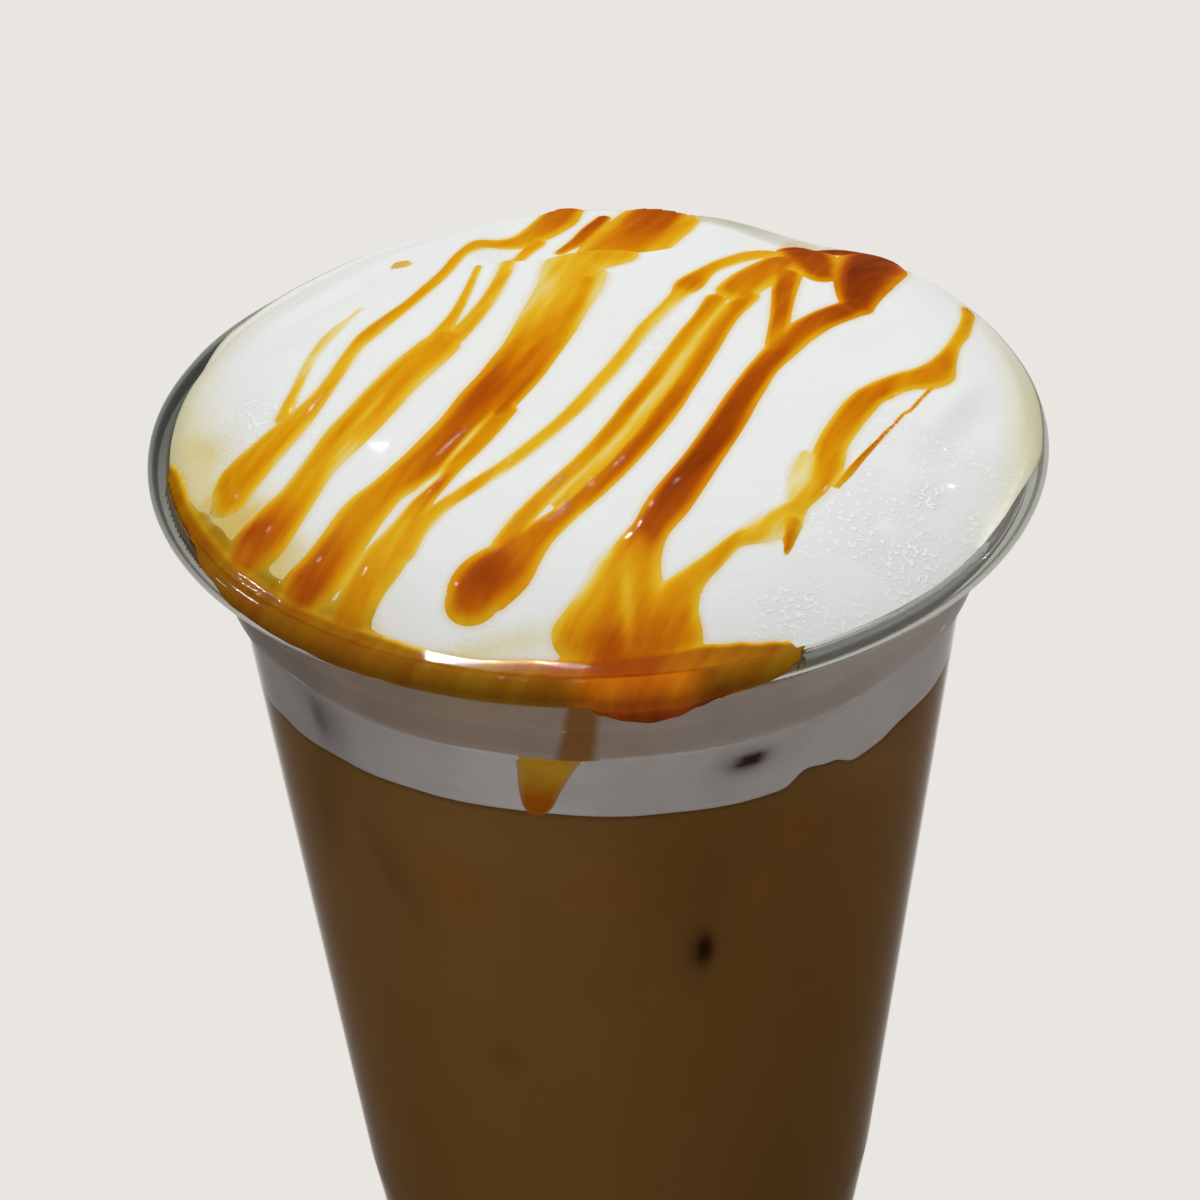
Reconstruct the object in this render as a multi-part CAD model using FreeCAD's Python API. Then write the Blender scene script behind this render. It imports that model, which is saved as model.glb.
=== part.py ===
import FreeCAD, Part
import math
import os

# Iced caramel macchiato in a clear takeaway cup.
# Millimetres. Origin at the middle of the cup's underside, +Z up, -Y is the front.

V = FreeCAD.Vector

# ---- cup ----------------------------------------------------------------
cup_height = 121.0          # base to top of rolled rim
rim_radius = 49.0           # outside of rolled rim
curl_radius = 1.3           # rolled rim, outside
wall = 0.5                  # cup wall
base_radius = 31.3          # outside, at top of the base band
base_band_z = 7.5           # base band height
heel_radius = 3.2           # rounding from the base band to the foot
foot_inset = 3.9            # foot's outer edge, in from the base radius
foot_width = 4.8            # foot's outer edge to the raised middle
punt_rise = 2.6             # raised middle of the base
body_inset = 8.1            # body outside just under the step, in from the rim
step_depth = 14.7           # stacking step under the rim
step_width = 1.3
ridge_depth = 8.6           # small ridge between step and lip
ridge_inset = 5.4           # ridge, in from the rim
band_z = 17.0               # body taper steepens a little below this
band_flare = 1.3            # body radius there, over the base radius

# ---- drink --------------------------------------------------------------
coffee_depth = 23.7         # coffee and foam meet, below the rim
coffee_wave = 0.9
dome_rise = 7.2             # crown of the foam over its own edge
edge_depth = 1.40           # foam edge below the rim, on average
edge_tilt_front = 1.55      # edge lower at the front by this
edge_tilt_side = 1.0        # edge lower on the left by this
dome_power = 4.5
crest_back = 0.582          # fold across the back of the foam, share of the lip radius
crest_drop = 3.2
crest_run = 4.0

# ---- caramel ------------------------------------------------------------
ribbon_lift = 0.30          # ribbon height over the foam, per mm of width
ribbon_lift_max = 1.7
ribbon_lift_min = 0.55
ribbon_root = 0.9           # how far ribbons reach into the foam before trimming
pool_level = 0.25           # pool surface below the rim
pool_middle = -27.0         # azimuth of the pool's middle, degrees
pool_half = 52.0            # half the arc it covers, degrees
pool_width = 7.0            # across its middle
spill_radius = 5.6          # caramel hanging over the rim
spill_azimuth = 4.0
spill_hang = 3.6
drip_azimuth = -10.5        # run of caramel inside the wall
drip_width = 5.4
drip_length = 14.0
drip_top_depth = 9.0
drip_thickness = 0.9

lip_radius = rim_radius - 2 * curl_radius
body_radius_top = rim_radius - body_inset
ridge_radius = rim_radius - ridge_inset
foot_radius = base_radius - foot_inset
punt_radius = foot_radius - foot_width
crest_y = crest_back * lip_radius
spread = lip_radius / 46.4  # the caramel's runs are laid out for a lip of 46.4
reach = rim_radius + 3.0


def smooth(t):
    t = min(max(t, 0.0), 1.0)
    return t * t * (3 - 2 * t)


def foam_rise(x, y):
    """Height of the foam's top over the rim plane."""
    rho = math.hypot(x, y)
    azimuth = math.atan2(x, -y)
    k = min(rho / lip_radius, 1.12)
    tilt = -edge_tilt_front * math.cos(azimuth) + edge_tilt_side * math.sin(azimuth)
    h = -edge_depth + tilt * k ** 3 + dome_rise * (1 - k ** dome_power)
    fold = crest_y + 3.0 * smooth((x / spread - 5) / 10)
    span = smooth((x / spread + 15) / 7) * smooth((38 - x / spread) / 16)
    return h - crest_drop * smooth((y - fold) / crest_run) * span


def foam_z(x, y):
    return cup_height + foam_rise(x, y)


def rounded_path(points):
    """Edges through (r, z, fillet) points; a fillet rounds its own corner."""
    edges = []
    last = V(points[0][0], 0, points[0][1])
    for i in range(1, len(points) - 1):
        p = V(points[i][0], 0, points[i][1])
        q = V(points[i + 1][0], 0, points[i + 1][1])
        radius = points[i][2]
        a = V(last - p)
        b = V(q - p)
        a.normalize()
        b.normalize()
        if radius <= 0:
            edges.append(Part.LineSegment(last, p).toShape())
            last = p
            continue
        half = a.getAngle(b) / 2
        cut = radius / math.tan(half)
        start = p + a * cut
        end = p + b * cut
        bis = V(a + b)
        bis.normalize()
        mid = p + bis * (radius / math.sin(half) - radius)
        edges.append(Part.LineSegment(last, start).toShape())
        edges.append(Part.Arc(start, mid, end).toShape())
        last = end
    edges.append(Part.LineSegment(last, V(points[-1][0], 0, points[-1][1])).toShape())
    return edges


def turn(face):
    return face.revolve(V(0, 0, 0), V(0, 0, 1), 360)


# ---- cup body: inner face first, then the wall outside it -----------------
step_z = cup_height - step_depth
ridge_z = cup_height - ridge_depth
curl_z = cup_height - curl_radius
band_r = base_radius + band_flare
body_taper = (body_radius_top - band_r) / (step_z - band_z)
inner_points = [
    (0.0, punt_rise + wall, 0),
    (punt_radius - wall, punt_rise + wall, 1.0),
    (punt_radius + 1.9, wall, 0.8),
    (foot_radius + 2.4, wall, heel_radius),
    (base_radius - wall, base_band_z, 1.5),
    (band_r - wall, band_z, 6.0),
    (body_radius_top - wall, step_z, 0.5),
    (body_radius_top - wall + step_width, step_z + 0.35, 0.5),
    (ridge_radius - wall - 0.9, ridge_z - 1.0, 0.7),
    (ridge_radius - wall, ridge_z, 0.6),
    (ridge_radius - wall + 0.25, ridge_z + 1.4, 1.2),
    (lip_radius, curl_z - 1.8, 2.2),
    (lip_radius, curl_z, 0),
]
inner_edges = rounded_path(inner_points)
curl_mid = V(rim_radius - curl_radius, 0, curl_z)


def on_curl(angle):
    a = math.radians(angle)
    return curl_mid + V(curl_radius * math.cos(a), 0, curl_radius * math.sin(a))


curl_top = Part.Arc(on_curl(180), on_curl(135), on_curl(90)).toShape()
curl_out = Part.Arc(on_curl(90), on_curl(10), on_curl(-70)).toShape()
inner_wire = Part.Wire(inner_edges + [curl_top])
skin_wire = Part.Wire(inner_edges + [curl_top, curl_out])
wall_face = skin_wire.makeOffset2D(wall, 0, True, True)
probe = wall_face.BoundBox
if probe.ZMin > 0.1:
    wall_face = skin_wire.makeOffset2D(-wall, 0, True, True)
cup = turn(wall_face)
if cup.ShapeType != "Solid":
    cup = cup.Solids[0]

# ---- the space the drink fills -------------------------------------------
brim_r = rim_radius - curl_radius
head = cup_height + 20.0
space_wire = Part.Wire(inner_edges + [
    curl_top,
    Part.LineSegment(V(brim_r, 0, cup_height), V(brim_r, 0, head)).toShape(),
    Part.LineSegment(V(brim_r, 0, head), V(0, 0, head)).toShape(),
    Part.LineSegment(V(0, 0, head), V(0, 0, punt_rise + wall)).toShape(),
])
space = turn(Part.Face(space_wire))


def under(height, reach, count, depth):
    """Solid below a height field over a square of half-width reach."""
    rows = []
    for i in range(count):
        x = -reach + 2 * reach * i / (count - 1)
        rows.append([V(x, y, height(x, y)) for y in
                     [-reach + 2 * reach * j / (count - 1) for j in range(count)]])
    surface = Part.BSplineSurface()
    surface.interpolate(rows)
    return surface.toShape().extrude(V(0, 0, -depth))


def coffee_z(x, y):
    azimuth = math.atan2(x, -y)
    far = smooth(math.hypot(x, y) / (0.82 * lip_radius))
    wave = -0.45 - 1.1 * math.cos(azimuth + 3.1) * 0.6 + 0.5 * math.sin(3 * azimuth + 1.0)
    return cup_height - coffee_depth + coffee_wave * far * wave


below_coffee = under(coffee_z, reach, 15, cup_height)
below_foam = under(foam_z, reach, 43, cup_height)
coffee = space.common(below_coffee)
milk_foam = space.common(below_foam).cut(below_coffee)


# ---- caramel --------------------------------------------------------------
def sample_path(points, per):
    """Smooth path through (x, y, width) points."""
    curve = Part.BSplineCurve()
    curve.interpolate([V(x * spread, y * spread, width) for x, y, width in points])
    first, last = curve.FirstParameter, curve.LastParameter
    n = per * (len(points) - 1)
    out = []
    for i in range(n + 1):
        u = first + (last - first) * i / n
        out.append((curve.value(u), curve.tangent(u)[0]))
    return out


def lens(x, y, nx, ny, width, lift):
    """Closed section standing across a ribbon: foam line below, crown above."""
    hw = width / 2
    lx, ly = x - nx * hw, y - ny * hw
    rx, ry = x + nx * hw, y + ny * hw
    left = V(lx, ly, foam_z(lx, ly) - 0.25)
    right = V(rx, ry, foam_z(rx, ry) - 0.25)
    mid_z = (left.z + right.z) / 2
    crown = V(x, y, max(foam_z(x, y), mid_z) + lift)
    root = V(x, y, min(foam_z(x, y), mid_z) - ribbon_root)
    return Part.Wire([Part.Arc(left, crown, right).toShape(),
                      Part.Arc(right, root, left).toShape()])


def ribbon(points, per=2):
    """Run of caramel lying on the foam, thick in the middle, round at its ends."""
    samples = sample_path(points, per)
    ends = []
    for (p, t), sign in ((samples[0], -1), (samples[-1], 1)):
        step = V(t.x, t.y, 0)
        step.normalize()
        ends.append((p + step * sign * max(p.z, 0.6) * 0.38, t, 0.4))
    rows = [ends[0]] + [(p, t, 1.0) for p, t in samples] + [ends[1]]
    wires = []
    for p, t, share in rows:
        flat = V(t.x, t.y, 0)
        flat.normalize()
        width = max(p.z, 0.6) * share
        lift = min(max(ribbon_lift * width, ribbon_lift_min * share), ribbon_lift_max)
        wires.append(lens(p.x, p.y, -flat.y, flat.x, width, lift))
    return Part.makeLoft(wires, True, False)


# each run: (x, y, width) along its middle, for the lip the runs are laid out for
far_left = [[(-3.2, 46, 4.2), (-7.2, 40.5, 3.8), (-13, 34.6, 1.8), (-17, 25, 1.6), (-22, 15.5, 1.8),
             (-26.3, 8.6, 1.9), (-30, -2, 2.3), (-35, -9.4, 5), (-37.4, -14, 4.8)],
            [(-26.8, 17, 0.8), (-30.2, 10, 1.2), (-32.6, 0.5, 1.2), (-33.8, -5.5, 1.8)]]
left = [[(-13.1, 24.6, 1), (-15.6, 14, 1.4), (-17.6, 8.4, 2)],
        [(-9.6, 26.5, 1.8), (-12.8, 14.6, 2), (-16, 8.4, 2.4)],
        [(-16.6, 9, 3.4), (-21.2, 0, 4.8), (-26.4, -10, 4.6), (-30.4, -17.2, 4.4),
         (-34.2, -21.6, 5), (-38, -21.4, 3.4)]]
middle = [[(-1, 25, 7), (-4, 15, 7), (-7.3, 5, 6.6), (-11.8, -5, 6.5), (-16.6, -15, 6.4),
           (-21.8, -20.6, 4.8), (-26.4, -26.8, 5.6), (-31, -30.4, 3.6)],
          [(-13.4, -15, 2.2), (-18, -23, 2.4), (-21.8, -30.6, 4.8), (-25.6, -37.4, 5.2)],
          [(19.6, 28, 3), (13.5, 23, 2.2), (11, 19.2, 3), (7.6, 13, 1.8), (1.2, -0.5, 1.8),
           (-5.8, -13, 1.8), (-15.6, -23.6, 1.8), (-19.4, -28.6, 2.6)],
          [(21, 23.4, 3), (13.6, 14.4, 2), (6.8, 0, 2), (-0.7, -15.4, 2), (-6.5, -25, 2.2),
           (-9.6, -31.4, 3.4)],
          [(22.6, 21.8, 2.6), (15.6, 12.2, 2.3), (10, -1, 2.4), (3.4, -16, 2.5), (-3.4, -26, 2.8),
           (-8.4, -31.4, 5.2), (-11.4, -34.6, 6.8), (-13, -36.8, 4)],
          [(28, 13.2, 3.8), (20.4, 4, 3.8), (13.9, -10, 3.9), (9.5, -20, 4.3), (5.1, -28.6, 4.2),
           (2.4, -35.5, 7.4), (2, -41.5, 11)],
          [(22, 20, 2.8), (20.6, 10, 2.3), (18.6, 2, 2.4)],
          [(24.6, 36, 5.4), (24.8, 29, 7.2), (26.2, 21.6, 4.2)],
          [(22, 32.4, 5), (29, 33, 6), (34, 31, 7)],
          [(34, 33, 7), (31.2, 22, 7), (29.2, 13.6, 4.2)],
          [(42.3, 16, 1.6), (39.7, 7.5, 1.7), (36.6, 0, 3.8), (30.4, -4.2, 3.2), (26.2, -10.5, 3.3),
           (23.5, -18, 3.3), (19.6, -25.6, 2.5), (14.6, -29.8, 2.3), (9.6, -34.6, 2.6),
           (6.4, -40, 5.6)]]
back = [[(9, 46, 7), (6.6, 42.4, 8.6), (3, 36.6, 8.4)], [(0.6, 42.5, 2.2), (-3.6, 36.6, 2.4)]]


def sector(middle_azimuth, half_angle, radius, z0, z1):
    """Wedge about the cup's axis."""
    a0 = math.radians(middle_azimuth - half_angle)
    a1 = math.radians(middle_azimuth + half_angle)
    am = math.radians(middle_azimuth)
    p0 = V(radius * math.sin(a0), -radius * math.cos(a0), z0)
    pm = V(radius * math.sin(am), -radius * math.cos(am), z0)
    p1 = V(radius * math.sin(a1), -radius * math.cos(a1), z0)
    o = V(0, 0, z0)
    wire = Part.Wire([Part.LineSegment(o, p0).toShape(), Part.Arc(p0, pm, p1).toShape(),
                      Part.LineSegment(p1, o).toShape()])
    return Part.Face(wire).extrude(V(0, 0, z1 - z0))


# pool: what lies in the groove between foam and lip, tapering out at both ends
half = math.radians(pool_half)
offset_num = lip_radius ** 2 - (lip_radius - pool_width) ** 2
offset = offset_num / (2 * (lip_radius - pool_width - lip_radius * math.cos(half)))
inner_r = lip_radius - pool_width + offset
mid = math.radians(pool_middle)
hole = Part.makeCylinder(inner_r, 40, V(-offset * math.sin(mid), offset * math.cos(mid),
                                        cup_height - 20))
block = Part.makeCylinder(rim_radius + 1, 8, V(0, 0, cup_height - pool_level - 8))
pool = space.common(block).common(sector(pool_middle, pool_half, 60, cup_height - 12,
                                         cup_height + 2)).cut(hole)

# spill: a tongue over the rim
sa = math.radians(spill_azimuth)
spill = Part.makeSphere(spill_radius)
stretch = FreeCAD.Matrix()
stretch.A11 = 1.0
stretch.A22 = 0.34
stretch.A33 = (spill_hang + 1.0) / spill_radius
spill = spill.transformGeometry(stretch)
spill.rotate(V(0, 0, 0), V(0, 0, 1), spill_azimuth)
spill.translate(V((rim_radius - 1.1) * math.sin(sa), -(rim_radius - 1.1) * math.cos(sa),
                  cup_height - 0.15))

# drip: a flattened run between the foam and the inside of the wall
drip_mid_z = cup_height - drip_top_depth - drip_length / 2
da = math.radians(drip_azimuth)
drip = Part.makeSphere(drip_length / 2)
slim = FreeCAD.Matrix()
slim.A11 = drip_width / drip_length
slim.A22 = 4 * drip_thickness / drip_length
drip = drip.transformGeometry(slim)
drip_r = body_radius_top - wall - body_taper * max(step_z - drip_mid_z, 0) - drip_thickness
drip.translate(V(0, -drip_r, drip_mid_z))
drip.rotate(V(0, 0, 0), V(0, 0, 1), drip_azimuth)
drip = drip.common(space)
milk_foam = milk_foam.cut(drip)


def largest(shape):
    return max(shape.Solids, key=lambda s: s.Volume)


def trimmed(shape):
    """What of a shape lies on the foam and clear of the cup."""
    return largest(shape.cut(cup).cut(below_foam))


def laid(runs, extra=()):
    """Runs trimmed to lie on the foam and inside the rim, then joined into one piece."""
    shapes = [trimmed(ribbon(r)) for r in runs] + [trimmed(e) for e in extra]
    joined = shapes[0] if len(shapes) == 1 else shapes[0].fuse(shapes[1:])
    return largest(joined)


caramel = laid(middle, (pool, spill))
pieces = {
    "cup": cup,
    "coffee": largest(coffee),
    "milk_foam": largest(milk_foam),
    "caramel": caramel,
    "caramel_left": largest(laid(left).cut(caramel)),
    "caramel_far_left": largest(laid(far_left).cut(caramel)),
    "caramel_back": laid(back),
    "caramel_drip": largest(drip),
}

os.makedirs("parts", exist_ok=True)
for name, shape in pieces.items():
    shape.exportStep("parts/" + name + ".step")
    print(name, round(shape.Volume), shape.isValid(), len(shape.Solids), len(shape.Faces))
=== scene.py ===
import logging
import math
from dataclasses import dataclass, field
from enum import Enum

import bpy
import numpy as np
from mathutils import Matrix, Vector


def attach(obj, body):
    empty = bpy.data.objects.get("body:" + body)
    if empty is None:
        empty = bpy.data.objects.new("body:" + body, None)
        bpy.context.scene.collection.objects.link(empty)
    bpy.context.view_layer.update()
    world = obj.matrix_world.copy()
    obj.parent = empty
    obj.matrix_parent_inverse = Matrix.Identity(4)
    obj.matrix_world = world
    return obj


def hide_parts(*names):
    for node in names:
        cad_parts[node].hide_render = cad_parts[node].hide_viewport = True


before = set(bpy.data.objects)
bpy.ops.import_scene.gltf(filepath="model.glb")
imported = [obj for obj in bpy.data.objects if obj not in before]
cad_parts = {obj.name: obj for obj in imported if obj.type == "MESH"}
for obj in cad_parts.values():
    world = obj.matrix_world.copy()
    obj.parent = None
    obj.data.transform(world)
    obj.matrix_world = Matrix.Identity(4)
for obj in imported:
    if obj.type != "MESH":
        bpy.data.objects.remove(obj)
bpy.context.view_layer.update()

logging.basicConfig(level=logging.INFO, format="%(name)s: %(message)s")

MM = 0.001
# Caramel height, in millimetres, that means there is none.
BARE = -2.0
# Foam that reaches past this radius, in millimetres, lies on the rolled rim.
ON_RIM = 46.7

Array = np.ndarray
RGB = tuple[float, float, float]
Table = dict[float, float]
Spot = tuple[float, ...]
Line = list[tuple[float, float]]
Faces = list[tuple[int, ...]]
Socket = bpy.types.NodeSocket


class Level(Enum):
    """Heights over the cup's underside, in millimetres."""

    RIM = 121.0
    CURL = 119.7
    STEP = 106.3
    CORE = 97.0


class Radius(Enum):
    """Radii of the cup, in millimetres."""

    RIM = 49.0
    CURL_MID = 47.7
    LIP = 46.4
    CURL = 1.3
    WALL = 0.5


def smooth(t: Array | float) -> Array | float:
    """Smoothstep of t, clipped to 0..1."""
    t = np.clip(t, 0.0, 1.0)
    return t * t * (3.0 - 2.0 * t)


def bell(x: Array, y: Array, cx: float, cy: float, rx: float, ry: float, turn: float = 0.0) -> Array:
    """Elliptical bump of height 1.

    Args:
        x, y: where it is read.
        cx, cy: its middle.
        rx, ry: its half-widths along its own axes.
        turn: its turn in degrees.

    Returns:
        The bump's height at each point.
    """
    c, s = math.cos(math.radians(turn)), math.sin(math.radians(turn))
    u = (x - cx) * c + (y - cy) * s
    v = -(x - cx) * s + (y - cy) * c
    return np.exp(-((u / rx) ** 2) - (v / ry) ** 2)


def sector(azimuth: Array, middle: float, width: float) -> Array:
    """Bump of height 1 round an azimuth, with its half-width in degrees."""
    return np.exp(-(((azimuth - middle) / width) ** 2))


def spots(x: Array, y: Array, table: tuple[Spot, ...], start: Array | float = 0.0) -> Array:
    """Adds up elliptical bumps.

    Args:
        x, y: where they are read.
        table: a bump's height, then the middle, half-widths and turn that bell takes.
        start: what they are added to.

    Returns:
        The sum at each point.
    """
    for height, *place in table:
        start = start + height * bell(x, y, *place)
    return start


def azimuth_of(x: Array, y: Array) -> Array:
    """Degrees round from the front (-Y) towards +X."""
    return np.degrees(np.arctan2(x, -y))


def round_table(azimuth: Array, table: Table) -> Array:
    """Reads a table of azimuth to value, closed on itself.

    Args:
        azimuth: degrees round from the front.
        table: the values at some azimuths.

    Returns:
        The values, eased from each entry to the next.
    """
    keys = sorted(table)
    values = [table[k] for k in keys]
    keys = [keys[-1] - 360.0] + keys + [keys[0] + 360.0]
    values = [values[-1]] + values + [values[0]]
    position = np.interp(azimuth, keys, np.arange(len(keys), dtype=float))
    low = np.clip(position.astype(int), 0, len(keys) - 2)
    part = smooth(position - low)
    values = np.array(values)
    return values[low] * (1 - part) + values[low + 1] * part


def ripple(x: Array, y: Array, z: Array | float, scale: float, seed: float) -> Array:
    """Soft repeatable unevenness from crossed waves.

    Args:
        x, y, z: where it is read, in millimetres.
        scale: its grain in millimetres.
        seed: which of its patterns.

    Returns:
        Values between about -1 and 1.
    """
    total = np.zeros_like(x)
    for i in range(5):
        a = seed * 1.7 + i * 2.399
        k = (0.7 + 0.45 * i) / scale
        phase = seed * 5.1 + i * 1.3
        total = total + np.sin(k * (x * math.cos(a) + y * math.sin(a)) + phase
                               + 1.3 * np.sin(k * 0.6 * (y * math.cos(a) - x * math.sin(a)) + phase * 2)
                               + 0.8 * k * z) / (1 + 0.35 * i)
    return total / 3.0


@dataclass(frozen=True)
class WallLine:
    """Inner face of the cup's wall: radius at each height, in millimetres."""

    points: tuple[tuple[float, float], ...] = (
        (0.5, 26.9), (1.2, 28.9), (3.0, 30.1), (7.5, 30.8), (17.0, 32.1), (105.9, 40.4), (106.3, 40.55),
        (106.6, 41.5), (107.0, 41.75), (111.0, 42.15), (112.0, 42.9), (112.4, 43.1), (113.8, 43.5),
        (116.0, 44.6), (118.0, 45.75), (119.2, 46.3), (119.7, 46.4), (121.0, 46.45))

    def at(self, height: Array | float) -> Array | float:
        """Radius of the inner face at a height."""
        heights, radii = zip(*self.points)
        return np.interp(height, heights, radii)


@dataclass(frozen=True)
class FoamShape:
    """Top of the foam and the line where it meets the coffee.

    Heights are in millimetres over the rim plane, and tables go by azimuth.
    """

    dome_rise: float = 7.2
    dome_power: float = 4.5
    mean_edge: float = -1.3
    crest_y: float = 26.4
    crest_run: float = 4.2
    back_rise: float = 2.3
    furthest: float = 1.12
    calm_width: float = 8.0
    edge: Table = field(default_factory=lambda: {
        -180.0: 0.3, -162.0: -0.4, -150.0: -0.7, -135.0: -0.7, -120.0: -0.5, -105.0: -0.4, -90.0: -0.7,
        -75.0: -1.0, -60.0: -1.1, -44.0: -1.2, -31.0: -1.5, -18.0: -1.0, -6.0: -1.7, 4.0: -2.5,
        30.0: -2.5, 50.0: -2.7, 70.0: -1.6, 90.0: -0.6, 120.0: -0.5, 135.0: -0.4, 148.0: -1.0,
        162.0: -0.3})
    reach: Table = field(default_factory=lambda: {
        -180.0: 48.6, -150.0: 48.6, -135.0: 48.3, -120.0: 47.5, -105.0: 46.6, -90.0: 46.5, -45.0: 46.5,
        0.0: 46.5, 50.0: 46.5, 65.0: 46.9, 80.0: 48.4, 100.0: 48.8, 140.0: 48.6})
    foot: Table = field(default_factory=lambda: {
        -180.0: -24.5, -120.0: -25.6, -71.0: -26.4, -60.0: -24.9, -43.0: -23.7, -28.0: -23.1,
        -13.0: -22.8, 6.0: -23.3, 22.0: -23.9, 27.0: -23.9, 31.0: -22.2, 36.0: -22.9, 41.0: -24.5,
        46.0: -24.4, 52.0: -23.8, 68.0: -25.0, 110.0: -24.0})
    lumps: tuple[Spot, ...] = (
        (0.5, 38.0, -5.0, 7.0, 1.6, 60.0), (-0.4, 40.0, -8.0, 6.0, 1.8, 60.0),
        (0.35, -31.0, 12.0, 5.0, 1.1, 30.0), (0.45, -32.0, 24.0, 9.0, 1.6, 48.0),
        (-0.35, -29.5, 22.0, 8.0, 1.4, 48.0), (0.35, -24.0, 33.0, 7.0, 1.4, 32.0),
        (-0.4, 30.0, 4.0, 7.0, 3.0, 50.0), (0.4, 33.0, -9.0, 6.0, 1.2, -40.0),
        (-0.35, 28.0, 34.0, 6.0, 2.4, 10.0))

    def rise(self, x: Array, y: Array) -> Array:
        """Dome with the low shelf behind its crest, before small unevenness.

        Args:
            x, y: points in millimetres.

        Returns:
            Heights over the rim plane.
        """
        rho = np.hypot(x, y)
        azimuth = azimuth_of(x, y)
        k = rho / np.maximum(round_table(azimuth, self.reach), Radius.LIP.value)
        k = np.minimum(k, self.furthest)
        edge = round_table(azimuth, self.edge)
        h = self.mean_edge + (edge - self.mean_edge) * k ** 3 + self.dome_rise * (1 - k ** self.dome_power)
        fold = self.crest_y + 3.4 * smooth((x - 5.0) / 10.0) + 0.5 * np.sin(x / 5.0)
        span = smooth((x + 15.0) / 7.0) * smooth((34.0 - x) / 14.0)
        back = edge + self.back_rise * (1 - k ** 3)
        return h + np.minimum(back - h, 0.0) * smooth((y - fold) / self.crest_run) * span

    def top(self, x: Array, y: Array) -> Array:
        """Finished top with its lumps and dents.

        Args:
            x, y: points in millimetres.

        Returns:
            Heights over the rim plane.
        """
        calm = smooth((Radius.RIM.value - 1.0 - np.hypot(x, y)) / self.calm_width)
        h = self.rise(x, y)
        h = h + calm * (0.22 * ripple(x, y, 0.0, 7.0, 1.0) + 0.09 * ripple(x, y, 0.0, 2.6, 4.0))
        return spots(x, y, self.lumps, h)

    def foot_at(self, azimuth: Array) -> Array:
        """Height where foam and coffee meet, over the rim plane."""
        return round_table(azimuth, self.foot)


@dataclass(frozen=True)
class Run:
    """One run of caramel.

    Its points are (x, y, width, tone) along its middle. Tone 0 is pale and 1 is darkest. Lift is
    the height for each millimetre of width, up to most, and thin shows what lies below.
    """

    points: tuple[tuple[float, float, float, float], ...]
    lift: float = 0.09
    most: float = 0.55
    thin: float = 0.0

    def line(self, step: float = 0.35) -> Array:
        """Smooth dense line through the points.

        Args:
            step: about how far apart its rows are, in millimetres.

        Returns:
            Rows of x, y, width and tone.
        """
        p = np.array(self.points, dtype=float)
        first = 2 * p[0] - p[1]
        last = 2 * p[-1] - p[-2]
        p = np.vstack([first, p, last])
        rows = []
        for i in range(1, len(p) - 2):
            count = max(int(np.hypot(*(p[i + 1, :2] - p[i, :2])) / step), 2)
            t = np.linspace(0, 1, count, endpoint=False)[:, None]
            a, b, c, d = p[i - 1], p[i], p[i + 1], p[i + 2]
            rows.append(0.5 * (2 * b + (c - a) * t + (2 * a - 5 * b + 4 * c - d) * t ** 2
                               + (3 * b - a - 3 * c + d) * t ** 3))
        rows.append(p[-2][None])
        return np.vstack(rows)


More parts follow.
